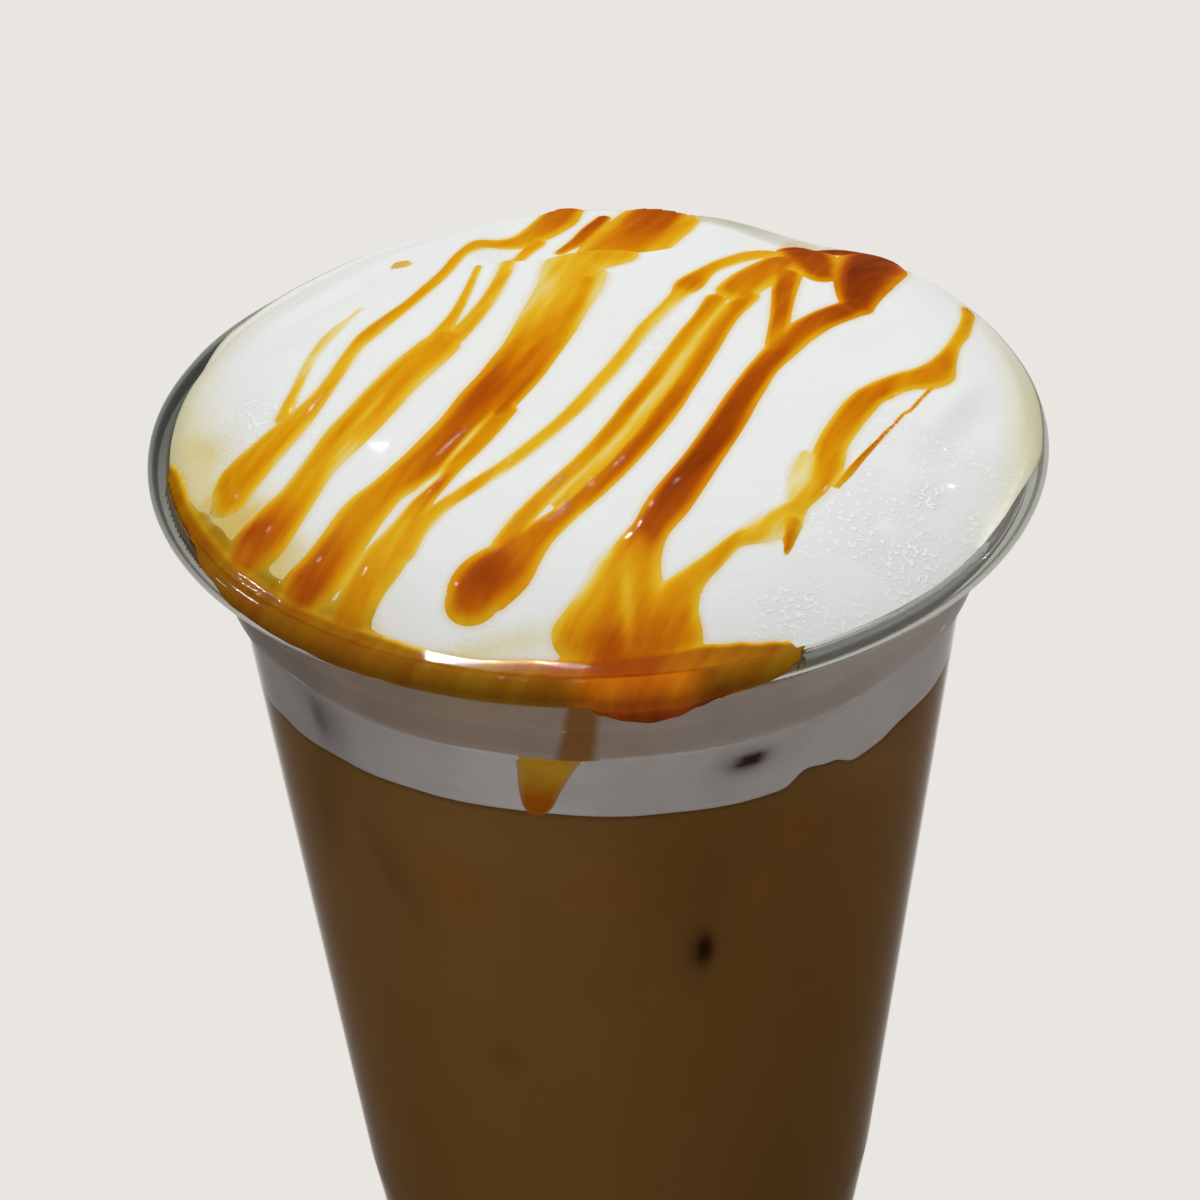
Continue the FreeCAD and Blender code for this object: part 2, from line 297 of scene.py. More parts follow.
RUNS: tuple[Run, ...] = (
    Run(((-3.2, 48, 5.0, .66), (-4.6, 44, 5.6, .62), (-7.2, 40.5, 4.6, .5), (-10.2, 38, 2.2, .44),
         (-13, 34.6, 1.8, .4), (-15.2, 30, 1.7, .4), (-17, 25, 1.7, .42), (-19.4, 20, 1.8, .42),
         (-22, 15.5, 1.9, .42), (-25, 10.9, 2.3, .44), (-26.5, 7.8, 1.9, .36), (-28.4, 2, 2.0, .34),
         (-30, -2, 2.5, .36), (-32.3, -6, 4.0, .38), (-35, -9.8, 5.2, .42), (-37.4, -13.0, 6.0, .46),
         (-38.5, -16.0, 4.6, .46))),
    Run(((-39.2, -11.5, 1.6, .5), (-39.4, -14.0, 2.0, .6), (-39.0, -16.0, 1.4, .55))),
    Run(((-26.4, 17.6, .6, .06), (-28.3, 13.4, 1.0, .12), (-30.2, 10, 1.3, .18), (-31.4, 6, 1.2, .2),
         (-32.6, 0.5, 1.3, .22), (-33.6, -4.5, 2.0, .28))),
    Run(((-13.1, 25.6, .9, .3), (-14.2, 19.5, 1.1, .36), (-15.6, 14, 1.4, .42), (-17.4, 9, 2.0, .45))),
    Run(((-6.6, 38.4, 2.4, .5), (-8.4, 35, 1.5, .34), (-9.6, 31, 1.7, .3), (-9.6, 26.5, 1.9, .3),
         (-10.8, 20.5, 1.8, .32), (-12.8, 14.6, 2.0, .36), (-15.4, 9, 2.4, .42))),
    Run(((-16.4, 9, 3.6, .48), (-17.6, 6.4, 5.0, .44), (-21.2, 0, 5.0, .44), (-23.7, -5, 5.3, .44),
         (-26.4, -10, 5.2, .44), (-29.2, -15, 4.2, .42), (-31.2, -19.0, 4.8, .46),
         (-33.2, -21.8, 6.0, .58), (-35.0, -24.0, 6.8, .66), (-36.2, -25.2, 6.0, .64),
         (-37.0, -26.0, 4.4, .56))),
    Run(((3.2, 26.5, 4.5, .42), (-1.4, 25, 7.4, .32), (-2.4, 20, 7.6, .3), (-4.0, 15, 7.2, .34),
         (-5.6, 10, 7.0, .44), (-7.3, 5, 6.7, .58), (-9.3, 0, 6.6, .68), (-11.8, -5, 6.5, .74),
         (-13.9, -10, 6.4, .7), (-16.6, -15, 6.4, .64), (-19.4, -18.2, 5.4, .58),
         (-21.8, -20.6, 4.6, .52), (-24, -23.4, 5.4, .5), (-26.2, -27.2, 5.6, .5),
         (-28.0, -29.9, 6.2, .62), (-29.4, -31.4, 6.6, .74), (-30.2, -32.2, 5.8, .74),
         (-30.7, -32.7, 4.6, .66))),
    Run(((-0.5, 20, 2.2, .48), (-2.0, 14, 2.2, .5), (-4.6, 5.5, 2.2, .55), (-7.6, -1.5, 2.6, .66),
         (-10.4, -7.5, 2.4, .7)), lift=0.24),
    Run(((-9.6, -7, 2.4, .7), (-12.2, -12.6, 2.2, .62), (-14.6, -17, 1.8, .6), (-16.4, -20.3, 1.8, .6),
         (-18.2, -23.4, 2.4, .52), (-19.8, -27, 3.6, .4), (-21.8, -30.6, 5.0, .4), (-24, -34, 4.8, .48),
         (-25.8, -37.8, 5.0, .64))),
    Run(((20.4, 29, 3.8, .32), (17, 26.4, 2.6, .38), (13.5, 23, 2.0, .42), (11, 19.2, 3.2, .62),
         (9.6, 16.6, 2.1, .36), (7.6, 13, 1.8, .28), (5.4, 8.8, 1.8, .28), (3.3, 4, 1.8, .28),
         (1.2, -0.5, 1.9, .3), (-1.3, -5.5, 1.9, .3), (-4.2, -10.5, 1.8, .33), (-7.9, -15.5, 1.9, .34),
         (-12, -20, 1.8, .36), (-15.6, -23.6, 1.8, .38), (-18.3, -26.9, 2.4, .4), (-20, -30, 3, .4))),
    Run(((22, 25, 5.2, .62), (18.6, 20.4, 5.4, .56), (16.4, 17.4, 5.0, .52))),
    Run(((13.8, 15.5, 2.6, .5), (12.2, 11.6, 2.4, .5), (10.2, 7.4, 2.3, .5), (7.3, 1, 2.3, .52),
         (4.7, -5, 2.3, .54), (1.8, -11.5, 2.3, .54), (-1.4, -17.2, 2.2, .5), (-4.8, -22.2, 2.2, .46),
         (-7.8, -26.8, 2.4, .44), (-9.3, -30.5, 3.2, .5))),
    Run(((14.6, 13, 1.2, .2), (13.2, 9.6, 1.6, .16), (10.8, 4.8, 1.6, .16), (8.4, -0.8, 1.6, .16),
         (5.8, -7, 1.6, .18), (2.6, -13.6, 1.6, .2), (-0.7, -19.4, 1.6, .24), (-4.2, -24.6, 1.4, .3))),
    Run(((17.4, 15.8, 2.8, .56), (14.8, 11.4, 2.8, .58), (11.9, 4, 2.9, .6), (9.6, -2, 2.9, .62),
         (6.6, -9.5, 2.9, .64), (3.4, -16, 2.9, .66), (0.0, -21.4, 2.8, .62), (-3.4, -26, 2.8, .56),
         (-6.2, -29.2, 3.6, .6), (-8.2, -31.8, 5.0, .64), (-9.9, -33.8, 6.8, .72),
         (-11.4, -35.2, 7.2, .76), (-12.3, -36.4, 6.6, .74), (-12.8, -37.2, 5.6, .7)), most=1.4),
    Run(((28.5, 13.2, 3.6, .8), (25.4, 10.6, 3.8, .74), (22.6, 7.4, 4.0, .7), (20.4, 4, 3.8, .7),
         (18.1, 0, 3.4, .72), (15.9, -5, 3.8, .76), (13.9, -10, 3.9, .82), (11.8, -15, 4.1, .88),
         (9.5, -20, 4.4, .9), (7, -25, 4.6, .82), (5.1, -28.6, 4.0, .66), (3.6, -32, 5.0, .5),
         (2.6, -35.5, 7.0, .46), (2.4, -39, 9.4, .52), (2, -42.8, 12.6, .7))),
    Run(((0.6, -33.5, 2.0, .3), (-0.4, -37, 3.2, .34), (-2.6, -41.6, 5.0, .5))),
    Run(((22.2, 21, 3.6, .66), (21.3, 15, 2.7, .68), (20.6, 10, 2.4, .62), (19.8, 5, 2.4, .6))),
    Run(((24.6, 38, 5.4, .86), (24.6, 31, 7.4, .84), (25.4, 25, 6.6, .8),
         (26, 21.8, 4.0, .76)), lift=0.2),
    Run(((16.6, 33.4, 2.4, .26), (19.6, 33.8, 5.4, .32), (22.5, 32, 5, .6)), lift=0.16),
    Run(((34.5, 34.5, 6.0, .96), (32.6, 28, 8.0, .95), (31.0, 21.5, 7.0, .95), (30, 16.8, 5.2, .92),
         (29.6, 14, 3.8, .86)), lift=0.2),
    Run(((27, 36, 5, .9), (31, 35.5, 6, .95), (35.5, 32, 4, .95)), lift=0.2),
    Run(((43.2, 21, 1.8, .55), (42.3, 16, 1.5, .45), (41.3, 12, 1.6, .42), (39.7, 7.5, 1.6, .4),
         (38.3, 3.5, 2.6, .58), (36.6, 0, 4.2, .56), (33.2, -1.9, 3.2, .52), (30.4, -4.2, 3.2, .56),
         (28, -7.2, 3.4, .56), (26.2, -10.5, 3.4, .54), (24.6, -14, 3.4, .5), (23.5, -18, 3.6, .5),
         (22.2, -21.5, 2.4, .45), (20.3, -24.4, 2.2, .4), (18.6, -27, 3.4, .28), (16.5, -28.6, 3.2, .24),
         (13.5, -30.3, 1.9, .42), (11.2, -32.8, 2.2, .42), (8.8, -35.3, 3.0, .42), (7, -38, 5.0, .5),
         (6.2, -41, 7.0, .6))),
    Run(((21.5, -16.0, 1.0, .1), (21.4, -17.6, 2.2, .12), (20.9, -20.5, 2.8, .12),
         (20, -23.5, 1.8, .16))),
    Run(((36.2, -2.4, .5, .5), (34.6, -5, .5, .56), (32.6, -8.3, .45, .6), (30.4, -11.4, .5, .6),
         (28.2, -14.8, .7, .58), (26.2, -18, .9, .5), (24.4, -21, .7, .4)), lift=0.5),
    Run(((19.4, -27.4, 2.0, .5), (18.9, -29.6, 1.3, .62), (18.5, -31.3, .6, .6)), lift=0.4),
    Run(((9.2, 48.4, 8.0, .8), (7.4, 44, 9.0, .72), (5.4, 39.5, 9.2, .62), (3.0, 35.5, 9.0, .54),
         (1.2, 31.5, 7.6, .44), (0.4, 27, 7.6, .4))),
    Run(((1.6, 45, 1.8, .8), (0.2, 41.5, 2.4, .74), (-1.4, 38, 2.4, .7), (-3.6, 35.2, 1.6, .6))),
    Run(((12.6, 46.6, 2.6, .3), (11.2, 43, 2.6, .34), (9.6, 39.5, 2.4, .34), (7.8, 35.5, 2.0, .34))),
    Run(((-22.8, 29.6, 1.4, .24), (-21.6, 29.3, 1.4, .24)), lift=0.4),
    Run(((-44.0, -14.0, 1.8, .34), (-42.2, -18.4, 3.6, .42),
         (-39.8, -23.2, 4.6, .46)), lift=0.05, thin=0.72),
    Run(((-40.2, -23.0, 4.6, .46), (-37.0, -27.4, 5.2, .42),
         (-33.8, -31.4, 4.8, .46)), lift=0.05, thin=0.72),
    Run(((-34.2, -31.0, 4.8, .46), (-30.0, -35.0, 5.4, .42),
         (-26.0, -38.0, 5.4, .46)), lift=0.05, thin=0.72),
    Run(((-26.2, -37.6, 5, .46), (-22.6, -40.4, 3.0, .38),
         (-19.6, -42.4, 1.6, .36)), lift=0.05, thin=0.72),
)


@dataclass
class CaramelField:
    """Where caramel lies on the foam, how high it stands and how dark it is."""

    foam: FoamShape
    runs: tuple[Run, ...] = RUNS
    pool_level: float = -0.1
    pool: Table = field(default_factory=lambda: {
        -180.0: -3.0, -92.0: -3.0, -86.0: -0.7, -79.0: -0.1, -55.0: 0.0, 0.0: 0.0, 12.0: 0.0,
        17.0: -0.25, 21.0: -0.6, 24.0: -0.9, 26.0: -3.0, 60.0: -4.0})
    lights: tuple[Spot, ...] = (
        (-0.08, -25.6, -11.5, 3.4, 0.7, 62.0), (-0.5, -13.8, -13.4, 5.6, 0.34, 63.0),
        (-0.5, -17.9, -20.6, 2.4, 0.34, 48.0), (-0.14, -24.4, -7.0, 4.0, 0.3, 64.0),
        (-0.12, -27.0, -13.4, 3.0, 0.3, 62.0), (-0.2, 2.4, -39.0, 0.7, 5.0, 0.0),
        (-0.16, -1.2, -31.5, 1.6, 5.0, -12.0), (-0.1, -6.2, 12.0, 1.0, 12.0, -14.0),
        (0.12, -27.6, -27.6, 1.6, 3.0, -40.0), (0.1, 4.8, -29.0, 1.0, 3.0, 20.0),
        (0.12, -36.4, -22.2, 2.4, 1.6, 0.0), (0.1, -11.2, -35.2, 2.2, 2.0, 0.0))
    blend: float = 0.07
    pool_blend: float = 0.3
    past_lip: float = 0.6
    deep_azimuth: float = 2.0
    deep_width: float = 11.0

    def read(self, x: Array, y: Array) -> tuple[Array, Array, Array]:
        """Caramel of all runs and of the pool.

        Args:
            x, y: points in millimetres.

        Returns:
            Heights over the foam in millimetres, below zero where there is none, and tones and
            thinness from 0 to 1.
        """
        height = np.full(x.shape, BARE)
        weight = np.full(x.shape, 1e-9)
        tone = np.zeros(x.shape)
        thin = np.zeros(x.shape)
        for run in self.runs:
            line = run.line()
            reach = line[:, 2].max() * 1.2 + 1.5
            near = ((x > line[:, 0].min() - reach) & (x < line[:, 0].max() + reach)
                    & (y > line[:, 1].min() - reach) & (y < line[:, 1].max() + reach))
            h, local = self.lay(run, line, x[near], y[near])
            w = np.exp(np.clip(h, -1.5, 2.0) * 5.0)
            tone[near] += w * local
            weight[near] += w
            thin[near] += w * run.thin
            old = height[near]
            mix = np.clip(0.5 + 0.5 * (h - old) / self.blend, 0, 1)
            height[near] = old * (1 - mix) + h * mix + self.blend * mix * (1 - mix)
        tone, thin = spots(x, y, self.lights, tone / weight), thin / weight
        level, pool_tone, pool_thin = self.flood(x, y)
        mix = np.clip(0.5 + 0.5 * (level - height) / self.pool_blend, 0, 1)
        tone = tone * (1 - mix) + pool_tone * mix
        thin = thin * (1 - mix) + pool_thin * mix
        height = height * (1 - mix) + level * mix + 0.1 * mix * (1 - mix)
        return height, tone, thin

    def lay(self, run: Run, line: Array, x: Array, y: Array) -> tuple[Array, Array]:
        """One run by itself, arched across and paler at its edges.

        Args:
            run: the run.
            line: its dense line.
            x, y: points near it, in millimetres.

        Returns:
            Heights over the foam, and tones.
        """
        best = np.full(x.shape, 1e9)
        index = np.zeros(x.shape, dtype=int)
        for i, row in enumerate(line):
            d = (x - row[0]) ** 2 + (y - row[1]) ** 2 - (row[2] * 0.25) ** 2
            closer = d < best
            best[closer] = d[closer]
            index[closer] = i
        row = line[index]
        ragged = 0.22 * ripple(x, y, 0.0, 1.5, 3.0) if run.thin else 0.05 * ripple(x, y, 0.0, 3.2, 7.0)
        half = row[:, 2] / 2 * (1 + ragged)
        share = np.hypot(x - row[:, 0], y - row[:, 1]) / np.maximum(half, 0.2)
        lift = np.clip(run.lift * row[:, 2], 0.16, run.most)
        h = np.maximum(lift * (1 - share ** 2), BARE)
        return h, row[:, 3] * (1.0 - 0.5 * smooth((share - 0.4) / 0.6)) + 0.5 * run.thin * ragged

    def flood(self, x: Array, y: Array) -> tuple[Array, Array, Array]:
        """The pool inside the front lip, level and darkest where it is deep.

        Args:
            x, y: points in millimetres.

        Returns:
            Heights over the foam, tones and thinness.
        """
        rho, azimuth = np.hypot(x, y), azimuth_of(x, y)
        surface = self.pool_level + round_table(azimuth, self.pool)
        level = surface - self.foam.top(x, y)
        lip = Radius.LIP.value
        under = surface < curl_top(rho) + 0.02
        level = np.where((rho > lip + self.past_lip) | ((rho > lip) & under), BARE, level)
        deep = sector(azimuth, self.deep_azimuth, self.deep_width)
        tone = (0.46 + 0.10 * ripple(x, y, 0.0, 4.0, 3.0) - 0.22 * smooth((0.7 - level) / 0.7)
                + 0.28 * deep + 0.10 * sector(azimuth, -62.0, 18.0))
        return level, tone, 0.74 * (1 - 0.75 * deep) * smooth(level / 0.5)


def curl_top(rho: Array) -> Array:
    """Height of the rolled rim's upper side over the rim plane."""
    inside = np.clip(Radius.CURL.value ** 2 - (rho - Radius.CURL_MID.value) ** 2, 0.0, None)
    return np.sqrt(inside) - Radius.CURL.value


RIM_BEND: Table = {-180.0: 0.0, -152.0: -0.35, -132.0: -0.8, -112.0: -0.35, -92.0: 0.0, 96.0: 0.0,
                   122.0: 0.15, 133.0: 0.05, 148.0: -1.0, 163.0: 0.0}


def bent(points: Array) -> Array:
    """The rim as it stands after being pressed: slightly lower in two places at the back.

    Args:
        points: places in millimetres over the cup's underside.

    Returns:
        The places, moved up or down with the rim.
    """
    points = np.array(points, dtype=float)
    x, y = points[:, 0], points[:, 1]
    share = smooth((points[:, 2] - Level.STEP.value) / 13.0)
    outward = smooth(np.hypot(x, y) / 46.0 * 2.0 - 1.0)
    points[:, 2] += share * round_table(azimuth_of(x, y), RIM_BEND) * outward
    return points


def linked(name: str, data: bpy.types.ID | None) -> bpy.types.Object:
    """New object in the scene.

    Args:
        name: its name.
        data: its mesh, camera or lamp.

    Returns:
        The object.
    """
    obj = bpy.data.objects.new(name, data)
    bpy.context.scene.collection.objects.link(obj)
    return obj


def mesh_object(name: str, verts: Array, faces: Faces) -> bpy.types.Object:
    """New smooth-shaded mesh object that follows the bent rim.

    Args:
        name: its name.
        verts: points in millimetres over the cup's underside.
        faces: the indices of each face's points.

    Returns:
        The object.
    """
    mesh = bpy.data.meshes.new(name)
    mesh.from_pydata((bent(verts) * MM).tolist(), [], faces)
    mesh.validate()
    mesh.update()
    mesh.shade_smooth()
    return linked(name, mesh)


def set_shares(obj: bpy.types.Object, **values: Array) -> None:
    """Stores values per vertex, clipped to 0..1.

    Args:
        obj: a mesh object.
        values: each attribute's name and its values.
    """
    for name, value in values.items():
        attribute = obj.data.attributes.new(name, "FLOAT", "POINT")
        attribute.data.foreach_set("value", np.clip(value, 0.0, 1.0).astype(np.float32))


def points_of(obj: bpy.types.Object) -> Array:
    """Reads where the vertices are.

    Args:
        obj: a mesh object.

    Returns:
        Their places in millimetres, a row for each.
    """
    co = np.empty(len(obj.data.vertices) * 3)
    obj.data.vertices.foreach_get("co", co)
    return co.reshape(-1, 3) / MM


def put_points(obj: bpy.types.Object, points: Array) -> None:
    """Moves the vertices to new places in millimetres."""
    obj.data.vertices.foreach_set("co", (points * MM).ravel())
    obj.data.update()


def closed_skin(rows: int, columns: int) -> Faces:
    """Faces of a closed body from an outer and an inner grid of the same size.

    Args:
        rows: points down a grid.
        columns: points across it.

    Returns:
        The faces, over the outer grid's points and then the inner one's.
    """
    m, n = rows, columns
    faces: list[tuple[int, ...]] = []
    for i in range(m - 1):
        for j in range(n - 1):
            a, b = i * n + j, i * n + j + m * n
            faces += [(a, a + n, a + n + 1, a + 1), (b, b + 1, b + n + 1, b + n)]
    border = (list(range(n)) + [i * n + n - 1 for i in range(1, m)]
              + [(m - 1) * n + j for j in range(n - 2, -1, -1)] + [i * n for i in range(m - 2, 0, -1)])
    for a, b in zip(border, border[1:] + border[:1]):
        faces.append((a, b, b + m * n, a + m * n))
    return faces


def edit_whole(obj: bpy.types.Object) -> None:
    """Takes one object alone into edit mode, with all of it selected."""
    bpy.ops.object.select_all(action="DESELECT")
    bpy.context.view_layer.objects.active = obj
    obj.select_set(True)
    bpy.ops.object.mode_set(mode="EDIT")
    bpy.ops.mesh.select_all(action="SELECT")


def turn_out(obj: bpy.types.Object) -> None:
    """Turns the faces outwards."""
    edit_whole(obj)
    bpy.ops.mesh.normals_make_consistent(inside=False)
    bpy.ops.object.mode_set(mode="OBJECT")


def spun(name: str, profile: Line, steps: int) -> bpy.types.Object:
    """Turned body from a line of (radius, height) points in millimetres.

    Args:
        name: the object's name.
        profile: the line; it is closed by the axis or by its own ends.
        steps: how many steps go round.

    Returns:
        The object, closed and with its faces outwards.
    """
    mesh = bpy.data.meshes.new(name)
    edges = [(i, i + 1) for i in range(len(profile) - 1)]
    if profile[0][0] > 1e-6 and profile[-1][0] > 1e-6:
        edges.append((len(profile) - 1, 0))
    mesh.from_pydata([(r * MM, 0.0, z * MM) for r, z in profile], edges, [])
    obj = linked(name, mesh)
    edit_whole(obj)
    bpy.ops.mesh.spin(steps=steps, angle=math.tau, center=(0, 0, 0), axis=(0, 0, 1))
    bpy.ops.mesh.select_all(action="SELECT")
    bpy.ops.mesh.remove_doubles(threshold=1e-6)
    bpy.ops.mesh.normals_make_consistent(inside=False)
    bpy.ops.object.mode_set(mode="OBJECT")
    bpy.ops.object.shade_smooth()
    return obj


def rounded(points: list[tuple[float, float, float]], bits: int = 5) -> Line:
    """Rounds the corners of a line.

    Args:
        points: (radius, height, fillet) of each corner.
        bits: how many pieces make a fillet.

    Returns:
        The line's (radius, height) points.
    """
    out = [points[0][:2]]
    for i in range(1, len(points) - 1):
        p = Vector(points[i][:2])
        a = (Vector(points[i - 1][:2]) - p).normalized()
        b = (Vector(points[i + 1][:2]) - p).normalized()
        radius = points[i][2]
        if radius <= 0:
            out.append(tuple(p))
            continue
        half = a.angle(b) / 2
        start = p + a * (radius / math.tan(half))
        end = p + b * (radius / math.tan(half))
        middle = p + (a + b).normalized() * (radius / math.sin(half))
        for j in range(bits + 1):
            q = start.lerp(end, j / bits)
            out.append(tuple(middle + (q - middle).normalized() * radius))
    out.append(points[-1][:2])
    return out


class NodeKit:
    """Short ways to place shader nodes in one material or group."""

    def __init__(self, tree: bpy.types.NodeTree) -> None:
        """Works on one node tree."""
        self.tree = tree

    def link(self, a: Socket, b: Socket) -> None:
        """Joins two sockets."""
        self.tree.links.new(a, b)

    def put(self, node: bpy.types.Node, **values: object) -> bpy.types.Node:
        """Sets a node's properties or its inputs by name.

        Args:
            node: the node.
            values: a value or a socket for each name, with _ for a blank.

        Returns:
            The node.
        """
        for key, value in values.items():
            if isinstance(value, bpy.types.NodeSocket):
                self.link(value, node.inputs[key.replace("_", " ")])
            elif hasattr(node, key):
                setattr(node, key, value)
            else:
                node.inputs[key.replace("_", " ")].default_value = value
        return node

    def add(self, kind: str, **values: object) -> bpy.types.Node:
        """New node of a kind, with its values put in."""
        return self.put(self.tree.nodes.new(kind), **values)

    def output(self) -> bpy.types.Node:
        """The tree's own output node."""
        kinds = ("ShaderNodeOutputMaterial", "ShaderNodeOutputWorld")
        return next(n for n in self.tree.nodes if n.bl_idname in kinds)

    def attribute(self, name: str) -> Socket:
        """Number stored on the mesh under a name."""
        return self.add("ShaderNodeAttribute", attribute_name=name).outputs["Fac"]

    def noise(self, scale: float, detail: float = 3.0, stretch: RGB = (1, 1, 1), turn: float = 0.0) -> Socket:
        """Noise in object space.

        Args:
            scale: cycles for each metre.
            detail: how many finer layers it has.
            stretch: how much longer it is along each axis.
            turn: degrees about Z.

        Returns:
            Its value.
        """
        coords = self.add("ShaderNodeTexCoord").outputs["Object"]
        mapping = self.add("ShaderNodeMapping", vector_type="TEXTURE", Scale=stretch,
                           Rotation=(0.0, 0.0, math.radians(turn)), Vector=coords)
        noise = self.add("ShaderNodeTexNoise", Scale=scale, Detail=detail, Vector=mapping.outputs["Vector"])
        return noise.outputs["Fac"]

    def ramp(self, value: Socket, stops: tuple[tuple[float, RGB], ...]) -> Socket:
        """Colour ramp over a value.

        Args:
            value: what it reads.
            stops: each position with its colour.

        Returns:
            The colour.
        """
        node = self.add("ShaderNodeValToRGB", Fac=value)
        elements = node.color_ramp.elements
        while len(elements) < len(stops):
            elements.new(0.5)
        for element, (position, colour) in zip(elements, stops):
            element.position = position
            element.color = (*colour, 1.0)
        return node.outputs["Color"]

    def mix(self, factor: Socket | float, a: Socket | RGB, b: Socket | RGB, blend: str = "MIX") -> Socket:
        """Mixes two colours.

        Args:
            factor: how much of the second there is.
            a, b: the colours.
            blend: the way they are mixed.

        Returns:
            The colour.
        """
        node = self.add("ShaderNodeMix", data_type="RGBA", blend_type=blend)
        for socket, value in ((node.inputs[0], factor), (node.inputs[6], a), (node.inputs[7], b)):
            if isinstance(value, bpy.types.NodeSocket):
                self.link(value, socket)
            else:
                socket.default_value = (*value, 1.0) if isinstance(value, tuple) else value
        return node.outputs[2]

    def math(self, operation: str, *values: Socket | float) -> Socket:
        """Sum over sockets or numbers.

        Args:
            operation: the kind of sum.
            values: what goes in.

        Returns:
            The number.
        """
        node = self.add("ShaderNodeMath", operation=operation)
        for socket, value in zip(node.inputs, values):
            if isinstance(value, bpy.types.NodeSocket):
                self.link(value, socket)
            else:
                socket.default_value = value
        return node.outputs[0]

    def span(self, value: Socket, low: float, high: float, to_low: float, to_high: float) -> Socket:
        """Maps one range onto another, clipped."""
        return self.add("ShaderNodeMapRange", From_Min=low, From_Max=high, To_Min=to_low, To_Max=to_high,
                        Value=value).outputs["Result"]

    def bump(self, height: Socket, distance: float, strength: float, **after: Socket) -> Socket:
        """Bump from a height, distance in metres, over the Normal given in after."""
        return self.add("ShaderNodeBump", Distance=distance, Strength=strength, Height=height,
                        **after).outputs["Normal"]

    def dimmed(self, colour: Socket, least: float) -> Socket:
        """Colour darkened by the mesh's dim value, down to the least share of itself."""
        return self.add("ShaderNodeGroup", node_tree=dim_group(), Color=colour, Dim=self.attribute("dim"),
                        Least=least).outputs["Color"]


def dim_group() -> bpy.types.NodeTree:
    """Node group that darkens what lies behind the wall away from the light.

    Returns:
        The group: Color, Dim and Least go in, and Color comes out.
    """
    group = bpy.data.node_groups.get("dimmed")
    if group is None:
        group = bpy.data.node_groups.new("dimmed", "ShaderNodeTree")
        for name, side, kind in (("Color", "INPUT", "Color"), ("Dim", "INPUT", "Float"),
                                 ("Least", "INPUT", "Float"), ("Color", "OUTPUT", "Color")):
            group.interface.new_socket(name, in_out=side, socket_type="NodeSocket" + kind)
        kit = NodeKit(group)
        given = kit.add("NodeGroupInput").outputs
        share = kit.mix(given["Dim"], (1.0, 1.0, 1.0), given["Least"])
        kit.add("NodeGroupOutput", Color=kit.mix(1.0, given["Color"], share, "MULTIPLY"))
    return group


def new_material(name: str) -> tuple[bpy.types.Material, NodeKit, bpy.types.Node]:
    """Material with one Principled shader.

    Args:
        name: its name.

    Returns:
        The material, its kit and the shader.
    """
    material = bpy.data.materials.new(name)
    material.use_nodes = True
    kit = NodeKit(material.node_tree)
    return material, kit, material.node_tree.nodes["Principled BSDF"]


@dataclass(frozen=True)
class FoamFinish:
    """Milk foam: fine wet bubbles with painted glint specks, cream stains, painted shade at some rim edges,
    and painted shade with tints where it is seen through the wall.
    """

    white: RGB = (0.86, 0.875, 0.865)
    moist: RGB = (0.81, 0.83, 0.82)
    cream: RGB = (0.78, 0.70, 0.38)
    amber: RGB = (0.72, 0.49, 0.09)
    # Painted shade for the foam's top along its rim edges at the right, back right and left.
    dull: RGB = (0.44, 0.44, 0.31)
    shade: RGB = (0.64, 0.59, 0.58)
    tan: RGB = (0.40, 0.30, 0.235)
    dark: RGB = (0.05, 0.025, 0.03)

    def make(self) -> bpy.types.Material:
        """Builds the material.

        Returns:
            The material.
        """
        material, kit, shader = new_material("foam_wet")
        wet = kit.attribute("wet")
        # Painted highlights: fine bright white specks mixed into the wet foam's colour stand in for glints.
        painted_glints = kit.math("MULTIPLY", kit.span(kit.noise(1700.0, 1.5), 0.54, 0.62, 0.0, 1.0), wet)
        colour = kit.mix(painted_glints, kit.mix(wet, self.white, self.moist), (1.0, 1.0, 1.0))
        for name, over in (("stain", self.cream), ("seep", self.amber), ("dull", self.dull)):
            colour = kit.mix(kit.attribute(name), colour, over)
        # Painted shade: the side seen through the wall takes a darker colour than the top, then is dimmed by
        # azimuth.
        side = kit.mix(kit.attribute("tan"), self.shade, self.tan)
        side = kit.mix(kit.attribute("dark"), side, self.dark)
        cloudy = kit.span(kit.noise(160.0, 3.0), 0.3, 0.7, 0.9, 1.06)
        side = kit.mix(1.0, side, kit.mix(cloudy, (0, 0, 0), (1, 1, 1)), "MULTIPLY")
        colour = kit.mix(kit.attribute("side"), colour, kit.dimmed(side, 0.3))
        normal = kit.bump(painted_glints, 0.00007, 1.0)
        normal = kit.bump(kit.noise(2300.0, 3.0), 0.00012, 0.3, Normal=normal)
        kit.put(shader, Base_Color=colour, Normal=normal, Roughness=kit.span(wet, 0.0, 1.0, 0.60, 0.15),
                Coat_Weight=kit.span(wet, 0.1, 0.9, 0.0, 0.7), Coat_Roughness=0.08, Specular_IOR_Level=0.0)
        return material


